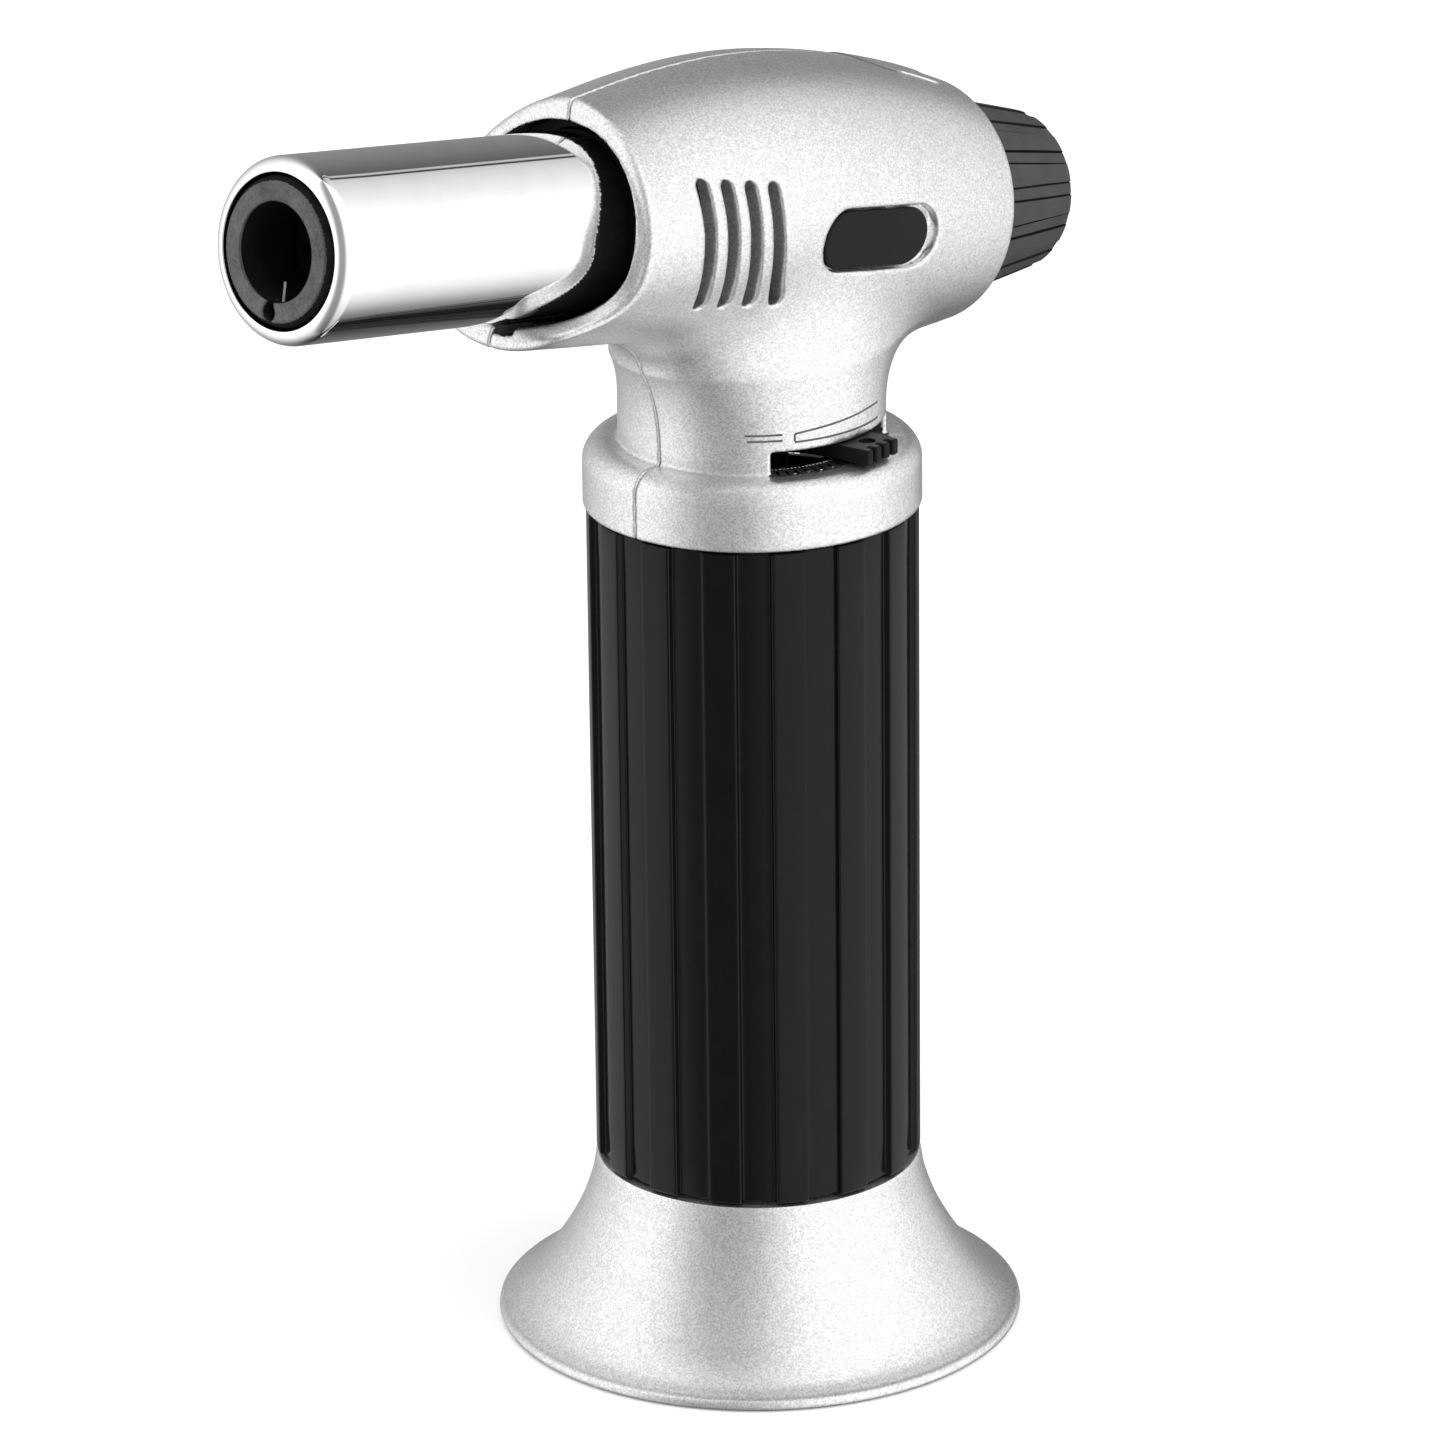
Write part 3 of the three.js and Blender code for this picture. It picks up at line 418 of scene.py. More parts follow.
def head_field(u, v, w, inset):
    """The same head surface as the CAD, in burner coordinates."""
    x, z = grip_place(u, w)
    top, bottom = pod_value(u, 1), pod_value(u, 2)
    half_height = (top - bottom) / 2 - inset
    half_width = pod_value(u, 3) - inset
    rise = (w - (top + bottom) / 2) / half_height
    ramp = np.clip(u / PEAK_FULL, 0, 1)
    peak = ramp * ramp * (3 - 2 * ramp) * np.maximum(0, 1 - inset / WALL)
    power = np.where(rise > 0, 2 - PEAK * peak, 2)
    ratio = (np.abs(v / half_width) ** power + np.abs(rise) ** power) ** (1 / power)
    pod = (ratio - 1) * np.minimum(half_width, half_height)
    taper = TAPER * np.maximum(0, z - TAPER_FROM) + AXIS_TAPER * np.maximum(0, z - AXIS_HEIGHT)
    radius = np.hypot(x, v)
    neck = radius - (NECK_RADIUS - taper - inset)
    ahead = np.maximum(0, x) / np.maximum(radius, 1e-6)
    reach = NECK_BLEND + FRONT_BLEND * ahead * ahead
    mix = np.maximum(reach - np.abs(pod - neck), 0) / reach
    blended = np.minimum(pod, neck) - mix * mix * reach / 4
    return np.maximum(np.maximum(blended, u - POD_FRONT), POD_REAR - u)


def skin_between(inner, outer):
    """Point of the head's skin on the line from a point inside it to one outside."""
    inner, outer = np.array(inner, float), np.array(outer, float)
    for _ in range(40):
        middle = (inner + outer) / 2
        x, y, z = middle[:, None]
        u, w = burner_place(x, z)
        if head_field(u, y, w, SKIN)[0] < 0:
            inner = middle
        else:
            outer = middle
    return middle


def side_point(angle, z):
    """Point on the head's skin at an angle round the grip axis and a height."""
    ray = np.array([math.cos(angle), math.sin(angle), 0])
    foot = np.array([0, 0, z])
    return skin_between(foot + 8 * ray, foot + 40 * ray)


def top_point(x, y):
    """Point on top of the head."""
    return skin_between((x, y, AXIS_HEIGHT), (x, y, AXIS_HEIGHT + 30))


def bezier(a, b, c, d, steps):
    t = np.linspace(0, 1, steps)[1:, None]
    a, b, c, d = (np.array(p, float) for p in (a, b, c, d))
    return a * (1 - t) ** 3 + 3 * b * t * (1 - t) ** 2 + 3 * c * t * t * (1 - t) + d * t ** 3


# Rim of the mouth seen from the side: points of u and w.
MOUTH_EDGE = np.concatenate([
    np.array([(33.9, 24), (34.2, 12)], float),
    bezier((34.2, 12), (35.4, 8), (36.3, 2), (36.3, -3), 14),
    bezier((36.3, -3), (36.3, -8.5), (40.5, -9.6), (43, -11), 14),
    bezier((43, -11), (44.6, -11.9), (45.2, -13), (45.4, -24), 10)])[::-1]


def mouth_field(u, w):
    """Below zero in front of the head's mouth."""
    def edge(height):
        return np.interp(height, MOUTH_EDGE[:, 1], MOUTH_EDGE[:, 0])
    step = 0.3
    lean = (edge(w + step) - edge(w - step)) / (2 * step)
    return (edge(w) - u) / np.sqrt(1 + lean * lean)


def capsule_field(u, w, gap):
    """Badge outline, leaning a little more than the burner axis."""
    du, dw = u - BADGE_PLACE[0], w - BADGE_PLACE[1]
    along = du * math.cos(BADGE_LEAN) + dw * math.sin(BADGE_LEAN)
    across = dw * math.cos(BADGE_LEAN) - du * math.sin(BADGE_LEAN)
    rear, front, half = BADGE_REAR - BADGE_TAIL * gap, BADGE_FRONT + gap, BADGE_HALF + gap
    return segment_distance(along, across, (rear + half, 0), (front - half, 0)) - half


def vent_field(x, z, index):
    """Cooling slot bowed to the front, each one leaning further back than the last."""
    lean = math.radians(VENT_LEAN + VENT_LEAN_STEP * index)
    dx = x - (VENT_PLACE[0] + VENT_STEP[0] * index)
    dz = z - (VENT_PLACE[1] + VENT_STEP[1] * index)
    along = dz * math.cos(lean) + dx * math.sin(lean)
    ahead = dx * math.cos(lean) - dz * math.sin(lean) + VENT_BOW
    on_arc = np.abs(np.hypot(ahead, along) - VENT_BOW)
    to_end = np.hypot(ahead - VENT_BOW * math.cos(VENT_HALF_TURN),
                      np.abs(along) - VENT_BOW * math.sin(VENT_HALF_TURN))
    within = np.abs(np.arctan2(along, ahead)) <= VENT_HALF_TURN
    return np.where(within, on_arc, to_end) - (VENT_WIDTH - VENT_BEVEL) / 2


def slot_field(x, y, z):
    """Opening of the flame lever round the neck."""
    angle = np.arctan2(y, x)
    across = np.maximum(SLOT_FROM - angle, angle - SLOT_TO) * NECK_RADIUS
    upright = np.maximum(COLLAR_TOP - 0.05 - z, z - SLOT_TOP)
    return np.maximum(round_cut(across, upright, 0.4), SLOT_BACK - np.hypot(x, y))


def rebate_field(u, v, w):
    """Step inside the bottom of the mouth, where the left casting laps the right one."""
    region = np.maximum(np.maximum(v - REBATE_SIDE, w - REBATE_TOP), REBATE_REAR - u)
    return np.maximum(region, head_field(u, v, w, WALL - REBATE_DEPTH))


def add_screw_posts(body, x, z, u, v, w):
    """The casting's field with a post behind each screw and a pocket down to its head."""
    for screw_x, screw_z in SCREWS:
        across = np.hypot(x - screw_x, z - screw_z)
        post = np.maximum(across - POST_RADIUS, head_field(u, v, w, 1.0))
        body = np.minimum(body, np.maximum(post, v + 2))
        body = round_cut(body, -np.maximum(across - POCKET_RADIUS, v + POCKET_FLOOR), 0.35)
    return body


def shell_field(side, u, v, w):
    """Field of one casting of the head: side is 1 for the left and -1 for the right."""
    x, z = grip_place(u, w)
    radius = np.hypot(x, v)
    outer = head_field(u, v, w, SKIN)
    pad = np.maximum(segment_distance(x, v, PAD_FRONT, PAD_REAR) - PAD_HALF, 5 - w)
    outer = np.minimum(outer, round_cut(pad, head_field(u, v, w, -PAD_RISE), 0.12))
    stack = np.maximum(outer, COLLAR_TOP - 3 - z)
    collar = round_cut(radius - COLLAR_RADIUS, z - COLLAR_TOP, 3.0)
    collar = round_cut(collar, COLLAR_BOTTOM - z, 0.4)
    body = round_join(stack, collar, 0.35)
    body = round_cut(body, -mouth_field(u, w), 0.9)
    body = round_cut(body, REAR_FACE - u, 0.7)
    body = round_cut(body, -head_field(u, v, w, WALL), 0.3)
    knob_radius = np.hypot(v, w - KNOB_DROP)
    body = round_cut(body, -np.maximum(knob_radius - KNOB_HOLE, u - KNOB_HOLE_END), 0.5)
    body = np.maximum(body, -np.maximum(radius - SOCKET_RADIUS, z - SOCKET_TOP))
    if side < 0:
        body = add_screw_posts(body, x, z, u, v, w)
    recess = RECESS_DEPTH * np.clip((u - RECESS_REAR) / RECESS_RAMP, 0.1, 1)
    pocket = np.maximum(capsule_field(u, w, 0.3), -head_field(u, v, w, recess))
    body = round_cut(body, -pocket, 0.3)
    for index in range(VENTS):
        vent = np.maximum(vent_field(x, z, index), -v * side)
        body = round_cut(body, -vent, VENT_BEVEL)
    if side > 0:
        body = round_cut(body, -slot_field(x, v, z), 0.3)
        body = round_cut(body, -rebate_field(u, v, w), 0.15)
    return round_cut(body, SEAM - v * side, 0.22)


# ---- materials ----
def add_node(tree, kind, inputs, **settings):
    """A new node; each input gets a value, or a link when it is another node's output."""
    made = tree.nodes.new(kind)
    for key, value in settings.items():
        setattr(made, key, value)
    for key, value in inputs.items():
        if isinstance(value, bpy.types.NodeSocket):
            tree.links.new(value, made.inputs[key])
        else:
            made.inputs[key].default_value = value
    return made


class Nodes:
    """Small helper to wire one material's node tree."""

    def __init__(self, name, base, metallic, roughness):
        self.material = bpy.data.materials.new(name)
        self.material.use_nodes = True
        self.tree = self.material.node_tree
        self.shader = self.tree.nodes["Principled BSDF"]
        self.shader.inputs["Base Color"].default_value = (*base, 1)
        self.shader.inputs["Metallic"].default_value = metallic
        self.shader.inputs["Roughness"].default_value = roughness
        self.position = self.tree.nodes.new("ShaderNodeTexCoord").outputs["Object"]

    def put(self, name, value):
        self.shader.inputs[name].default_value = value
        return self

    def node(self, kind, inputs, **settings):
        return add_node(self.tree, kind, inputs, **settings)

    def noise(self, size_mm, detail=2.0, roughness=0.5):
        """Noise of a feature size in mm over the object's own coordinates."""
        made = self.node("ShaderNodeTexNoise", {
            "Vector": self.position, "Scale": 1000 / size_mm, "Detail": detail,
            "Roughness": roughness})
        return made.outputs["Fac"]

    def span(self, source, from_low, from_high, low, high):
        """A value moved from one range to another, and kept inside it."""
        made = self.node("ShaderNodeMapRange", {
            "Value": source, "From Min": from_low, "From Max": from_high, "To Min": low,
            "To Max": high})
        return made.outputs["Result"]

    def link(self, socket, name):
        self.tree.links.new(socket, self.shader.inputs[name])

    def tint(self, source, dark, light):
        """Base colour that runs from dark to light as the source runs from 0 to 1."""
        mix = self.node("ShaderNodeMix", {"Factor": source}, data_type="RGBA")
        colours = [s for s in mix.inputs if s.type == "RGBA"]
        colours[0].default_value = (*dark, 1)
        colours[1].default_value = (*light, 1)
        self.link([s for s in mix.outputs if s.type == "RGBA"][0], "Base Color")

    def bump(self, source, height_mm):
        made = self.node("ShaderNodeBump", {"Height": source, "Distance": height_mm * 0.001})
        self.link(made.outputs["Normal"], "Normal")


def plastic(name, dark, light, roughness, grain_mm, height_mm, specular=0.5):
    made = Nodes(name, light, 0.0, roughness).put("Specular IOR Level", specular)
    cloud = made.noise(3.0, 3.0, 0.6)
    grain = made.noise(grain_mm, 2.0, 0.6)
    made.tint(made.span(cloud, 0.3, 0.7, 0, 1), dark, light)
    made.link(made.span(grain, 0.3, 0.7, roughness * 0.85, min(1, roughness * 1.15)), "Roughness")
    made.bump(grain, height_mm)
    return made.material


def metal(name, dark, light, roughness, height_mm=0.004):
    made = Nodes(name, light, 1.0, roughness)
    cloud = made.noise(4.0, 3.0, 0.55)
    fine = made.noise(0.4, 2.0, 0.6)
    made.tint(made.span(cloud, 0.3, 0.7, 0, 1), dark, light)
    made.link(made.span(fine, 0.3, 0.7, roughness * 0.7, roughness * 1.3), "Roughness")
    made.bump(fine, height_mm)
    return made.material


def silver_paint():
    """Satin aluminium paint: fine flakes under a thin clear, with a slight orange peel."""
    made = Nodes("silver_paint", (0.80, 0.80, 0.81), 0.92, 0.4)
    flake = made.node("ShaderNodeTexVoronoi", {
        "Vector": made.position, "Scale": 1000 / 0.19, "Randomness": 1.0})
    speck = made.node("ShaderNodeSeparateColor", {"Color": flake.outputs["Color"]})
    grain = made.noise(0.2, 3.0, 0.7)
    peel = made.noise(1.6, 2.0, 0.5)
    shade = made.node("ShaderNodeMath", {0: speck.outputs[0], 1: grain}, operation="ADD")
    made.tint(made.span(shade.outputs[0], 0.55, 1.45, 0, 1), (0.62, 0.62, 0.63),
              (0.93, 0.93, 0.94))
    made.link(made.span(speck.outputs[1], 0, 1, 0.28, 0.38), "Roughness")
    height = made.node("ShaderNodeMath", {0: speck.outputs[2], 1: 0.25, 2: grain},
                       operation="MULTIPLY_ADD")
    fine = made.node("ShaderNodeBump", {
        "Height": height.outputs[0], "Distance": 0.00003, "Strength": 0.8})
    wide = made.node("ShaderNodeBump", {
        "Height": peel, "Distance": 0.00003, "Strength": 0.35,
        "Normal": fine.outputs["Normal"]})
    made.link(wide.outputs["Normal"], "Normal")
    made.put("Coat Weight", 0.12).put("Coat Roughness", 0.3)
    return made.material


SILVER = silver_paint()
CHROME = metal("chrome", (0.90, 0.90, 0.91), (0.95, 0.95, 0.96), 0.03, height_mm=0.0004)
RING_STEEL = metal("ring_steel", (0.10, 0.10, 0.105), (0.15, 0.15, 0.155), 0.5, height_mm=0.01)
STEEL = metal("dull_steel", (0.42, 0.42, 0.43), (0.55, 0.55, 0.56), 0.38)
SCREW_STEEL = metal("screw_steel", (0.5, 0.5, 0.52), (0.68, 0.68, 0.7), 0.25)
# Brass darkened to near-black: painted shade for the gas valve down in the slot.
SHADED_BRASS = metal("brass_painted_shade", (0.05, 0.04, 0.02), (0.10, 0.075, 0.04), 0.5)
BRASS = metal("brass", (0.62, 0.43, 0.17), (0.76, 0.56, 0.26), 0.28)
GRIP_BLACK = plastic("black_gloss", (0.0022, 0.0022, 0.0023), (0.0035, 0.0035, 0.0036), 0.16,
                     0.8, 0.002, specular=0.2)
BADGE_BLACK = plastic("badge_gloss", (0.003, 0.003, 0.003), (0.005, 0.005, 0.005), 0.14,
                      0.6, 0.002, specular=0.13)
SATIN = plastic("black_satin", (0.036, 0.036, 0.037), (0.050, 0.050, 0.051), 0.58, 0.2, 0.012,
                specular=0.3)
# Lighter black for the lever's top faces: painted light on one matte black part.
LEVER_LIT_TOP = plastic("lever_lit_top", (0.026, 0.026, 0.027), (0.040, 0.040, 0.041), 0.5,
                      0.2, 0.012, specular=0.35)
# Dark for the castings' unpainted inside, and painted shade in the lever's slot, the grip's socket
# and the lap step.
INSIDE_AND_SHADE = plastic("inside_and_painted_shade", (0.022, 0.022, 0.022), (0.032, 0.032, 0.032), 0.6, 0.4, 0.02, 0.35)
# Bright metal for painted highlights: the pad's side lines, the detent teeth and the pips.
HIGHLIGHT_METAL = metal("painted_highlight", (0.86, 0.86, 0.87), (0.95, 0.95, 0.96), 0.3)
# Near-black for the flame disc and for the burner cup's bore and flange.
BURNER_BLACK = plastic("burner_black", (0.004, 0.004, 0.004), (0.009, 0.009, 0.009), 0.85, 0.3, 0.02, 0.1)
MATTE = plastic("black_matte", (0.004, 0.004, 0.004), (0.007, 0.007, 0.007), 0.6, 0.3, 0.01,
                specular=0.2)
GREY = plastic("grey_plastic", (0.10, 0.10, 0.105), (0.14, 0.14, 0.145), 0.55, 0.3, 0.01)
TANK = plastic("tank_plastic", (0.42, 0.44, 0.46), (0.50, 0.52, 0.54), 0.3, 0.5, 0.005)
CERAMIC = plastic("ceramic", (0.74, 0.71, 0.64), (0.82, 0.80, 0.74), 0.4, 0.15, 0.006)
RUBBER = plastic("rubber", (0.012, 0.012, 0.012), (0.02, 0.02, 0.02), 0.8, 0.15, 0.012)
# Dark line for the engraved flame marks, and for painted shade round the pad's front.
MARKS_AND_SHADE = plastic("engraved_and_shade_line", (0.07, 0.07, 0.07), (0.13, 0.13, 0.13), 0.6, 0.2, 0.01)

SLOT_MATERIALS = {
    "silver_paint": SILVER, "chrome": CHROME, "steel": STEEL, "brass": BRASS,
    "black_gloss": GRIP_BLACK, "black_satin": SATIN, "black_matte": MATTE,
    "grey_plastic": GREY, "tank_plastic": TANK, "ceramic": CERAMIC, "rubber": RUBBER}


def dress_cad_nodes():
    """Every CAD node gets its slot's material."""
    slots = {part["node"]: part["material_slot"] for part in frame["record"]["subparts"]}
    for name, node in frame["nodes"].items():
        slot = slots[name]
        node.data.materials.clear()
        node.data.materials.append(SLOT_MATERIALS[slot])
    # The flame disc deep in the tube gets the near-black.
    frame["nodes"]["flame_disc"].data.materials[0] = BURNER_BLACK
    # The gas valve gets the near-black brass: painted shade.
    frame["nodes"]["gas_valve"].data.materials[0] = SHADED_BRASS


# ---- pieces ----
def inside_and_shade_faces(p):
    """Faces of the unpainted inside of a casting, and painted shade on the lever's slot, the
    grip's socket and the lap step.
    """
    u, v, w = p.T
    x, z = grip_place(u, w)
    radius = np.hypot(x, v)
    angle = np.arctan2(v, x)
    inside = (head_field(u, v, w, WALL) < 0.07) & (u < 42)
    # The grip's socket, the slot's floor and throat and the lap step carry painted shade.
    socket = (radius < SOCKET_RADIUS + 0.2) & (z < SOCKET_TOP + 0.2)
    above = z > COLLAR_TOP - 2.4
    floor = (radius < NECK_RADIUS + 0.3) & (z < COLLAR_TOP + 0.25) & above
    throat = (radius < NECK_RADIUS - 0.6) & (z < SLOT_TOP + 0.4) & above
    in_slot = (angle > SLOT_FROM - 0.01) & (angle < SLOT_TO + 0.01)
    rebate = (rebate_field(u, v, w) < 0.1) & (v > SEAM + 0.05)
    return inside | socket | ((floor | throat) & in_slot) | rebate


def add_head():
    cell = 0.36
    for side, name in ((1, "left"), (-1, "right")):
        low = (-34.5, SEAM if side > 0 else -22, -43.5)
        high = (47, 22 if side > 0 else -SEAM, 20.5)
        # Dark inside each casting, with painted shade in its slot, socket and lap step.
        make_piece(f"shell_{name}", net(partial(shell_field, side), low, high, cell),
                   "torch", SILVER, (f"head_shell_{name}",),
                   burner_to_grip, inlay=(INSIDE_AND_SHADE, inside_and_shade_faces))


def badge_field(side, u, v, w):
    """Plate let into the side of the head, a little below its skin."""
    skin = np.maximum(head_field(u, v, w, PLATE_FACE), -head_field(u, v, w, PLATE_BACK))
    plate = round_cut(capsule_field(u, w, 0), skin, 0.35)
    return np.maximum(plate, 5 - v * side)


def add_badges():
    near, far = 13, 19
    for side, name in ((1, "left"), (-1, "right")):
        low = (-15, near if side > 0 else -far, -5.8)
        high = (5.3, far if side > 0 else -near, 2.8)
        plate = net(partial(badge_field, side), low, high, 0.2)
        make_piece(f"plate_{name}", plate, "torch", BADGE_BLACK, (f"badge_{name}",),
                   burner_to_grip)


def screw_field(screw_x, screw_z, x, y, z):
    """Pan head with a cross recess, and a plain shank across the head of the torch."""
    half, reach, bottom = SCREW_CROSS
    dx, dz, out = x - screw_x, z - screw_z, -y
    radius = np.hypot(dx, dz)
    head = np.maximum(radius - SCREW_HEAD, np.maximum(SCREW_SEAT - out, out - SCREW_CROWN))
    dome = np.sqrt(radius ** 2 + (out - DOME_MIDDLE) ** 2) - DOME_RADIUS
    head = round_cut(head, dome, 0.15)
    arms = np.minimum(np.maximum(np.abs(dx) - half, np.abs(dz) - reach),
                      np.maximum(np.abs(dz) - half, np.abs(dx) - reach))
    head = round_cut(head, -np.maximum(arms, bottom - out), 0.06)
    shank_ends = np.maximum(out - SCREW_SEAT - 0.5, SCREW_END - out)
    return np.minimum(head, np.maximum(radius - SCREW_SHANK, shank_ends))


def add_screw_heads():
    """Screws at the bottom of the pockets in the right casting."""
    for number, (x, z) in enumerate(SCREWS, 1):
        low, high = (x - 2.3, -10, z - 2.3), (x + 2.3, 6.1, z + 2.3)
        screw = net(partial(screw_field, x, z), low, high, 0.13)
        make_piece(f"screw_{number}", screw, "torch", SCREW_STEEL,
                   (f"shell_screw_{number}",))


def divided(outline, length):
    """Closed outline with its long straight stretches along the axis cut into shorter ones."""
    result = []
    for a, b in zip(outline, outline[1:] + outline[:1]):
        result.append(a)
        cuts = int(abs(a[1] - b[1]) // length)
        for k in range(1, cuts):
            result.append((a[0], a[1] + (b[1] - a[1]) * k / cuts))
    return result


def add_burner_tube():
    """Chrome tube with a full round lip rolled in to the muzzle."""
    outline = [(TUBE_BORE, TUBE_REAR), (TUBE_RADIUS, TUBE_REAR)]
    steps = 18
    for i in range(steps + 1):
        angle = i * math.pi / 2 / steps
        outline.append((TUBE_RADIUS - LIP_WIDTH * (1 - math.cos(angle)),
                        MUZZLE - LIP_LENGTH * (1 - math.sin(angle))))
    outline += [(LIP_BORE + 0.07, MUZZLE - 0.04), (LIP_BORE + 0.02, MUZZLE - 0.14),
                (LIP_BORE, MUZZLE - 0.3), (LIP_BORE, MUZZLE - 1.6), (TUBE_BORE, MUZZLE - 2.6)]
    make_piece("burner_barrel", lathe(divided(outline, 6), 160, True), "torch", CHROME,
               ("burner_tube",), burner_to_grip, sharp=50)


def ring_field(u, v, w):
    """Burner cup with a chamfered flange and a keyhole notch for the electrode."""
    cos, sin = math.cos(-ELECTRODE_TURN), math.sin(-ELECTRODE_TURN)
    across = v * cos - w * sin
    up = v * sin + w * cos
    radius = np.hypot(v, w)
    flange = np.maximum(radius - FLANGE_RADIUS, RING_FACE - FLANGE_DEPTH - u)
    shoulder = ((radius - RING_RADIUS) * 0.85 + (u - RING_FACE) * 0.75) / 1.134
    flange = round_cut(flange, shoulder, 0.25)
    outer = round_join(flange, radius - RING_BODY, 0.3)
    solid = round_cut(outer, u - RING_FACE, 0.2)
    solid = round_cut(np.maximum(solid, RING_REAR - u), RING_BORE - radius, 0.16)
    slit = np.maximum(np.abs(across) - SLIT_HALF, np.maximum(up + SLIT_TOP, -SLIT_END - up))
    bulge = np.hypot(across, up + ELECTRODE_DROP - 0.6) - NOTCH_RADIUS
    notch = np.maximum(round_join(slit, bulge, 0.3), DISC_FACE - u)
    return round_cut(solid, -notch, 0.12)


def add_burner_ring():
    # The cup's bore and its flange behind the tube's lip get the near-black; its face keeps the
    # steel.
    def near_black_faces(p):
        radius = np.hypot(p[:, 1], p[:, 2])
        bore = (radius < RING_BORE + 0.1) & (p[:, 0] < RING_FACE - 0.2)
        return bore | (radius > RING_RADIUS + 0.12)
    cup = net(ring_field, (69, -9.1, -9.1), (82.1, 9.1, 9.1), 0.2)
    make_piece("burner_cup", cup, "torch", RING_STEEL, ("burner_ring",),
               burner_to_grip, inlay=(BURNER_BLACK, near_black_faces))


def add_flame_marks():
    """Fine marks over the lever: two short bars for low, and an opening wedge for high."""
    def level(start, end, height, steps):
        return [side_point(math.radians(start + (end - start) * k / steps), height)
                for k in range(steps + 1)]
    wedge_end = WEDGE_FROM + WEDGE_TURN
    upper = []
    for k in range(21):
        turn = WEDGE_TURN * k / 20
        opened = WEDGE_HEIGHT * min(1, turn / WEDGE_FULL) ** 0.75
        upper.append(side_point(math.radians(WEDGE_FROM + turn), WEDGE_TOP + opened))
    closing = [side_point(math.radians(WEDGE_FROM), WEDGE_BOTTOM + 0.08 + 0.96 * k / 4)
               for k in range(5)]
    lines = [level(40, 56, 124.6, 8), level(41, 56, 123.84, 8), upper,
             level(WEDGE_FROM, wedge_end, WEDGE_BOTTOM, 20), closing]
    marks = joined([inlaid_line(line, MARK_WIDTH) for line in lines])
    make_piece("flame_marks", marks, "torch", MARKS_AND_SHADE, ())


def add_pad_edges():
    """Lines at the edge of the flat pad on top of the head's rear: painted shade round the front,
    painted highlights along it.
    """
    reach = PAD_HALF + 0.1
    turns = [math.radians(-84 + 168 * k / 24) for k in range(25)]
    front = [top_point(PAD_FRONT[0] + reach * math.cos(t), reach * math.sin(t)) for t in turns]
    upward = np.array([-0.3, 0, 1.0])
    # A dark line round the pad's front: painted shade.
    make_piece("pad_front_shade", inlaid_line(front, 0.3, 0.12, facing=upward), "torch",
               MARKS_AND_SHADE, ())
    # Bright lines along the pad's sides: painted highlights.
    sides = []
    for side in (1, -1):
        line = [top_point(PAD_FRONT[0] - 0.6 - 0.64 * k, side * (reach - 0.2 + 0.06 * k))
                for k in range(11)]
        sides.append(inlaid_line(line, 0.24, 0.14, facing=upward))
    make_piece("pad_side_highlights", joined(sides), "torch", HIGHLIGHT_METAL, ())


def add_detent_track():
    """Toothed wire and four pips in the floor of the lever's slot, in bright metal as painted
    highlights.
    """
    teeth = []
    for k in range(TRACK_TEETH):
        turn = math.radians(TRACK_FROM + k)
        radius = TRACK_RADIUS + (TRACK_WAVE if k % 2 else -TRACK_WAVE)
        teeth.append((radius * math.cos(turn), radius * math.sin(turn), COLLAR_TOP - 0.1))
    wire = inlaid_line(teeth, 0.16, 0.1, 0.4, np.array([0, 0, 1.0]))
    make_piece("detent_teeth", wire, "torch", HIGHLIGHT_METAL, ())
    dome = [(0, 0.14), (0.2, 0.12), (0.34, 0.06), (0.4, -0.05), (0.4, -0.4), (0, -0.4)]
    pips = []
    for k in range(PIPS):
        turn = math.radians(PIP_FROM + PIP_STEP * k)
        centre = (PIP_RADIUS * math.cos(turn), PIP_RADIUS * math.sin(turn), COLLAR_TOP - 0.12)
        spots, sides = lathe(dome, 16)
        pips.append((spots + np.array(centre), sides))
    make_piece("detent_pips", joined(pips), "torch", HIGHLIGHT_METAL, ())


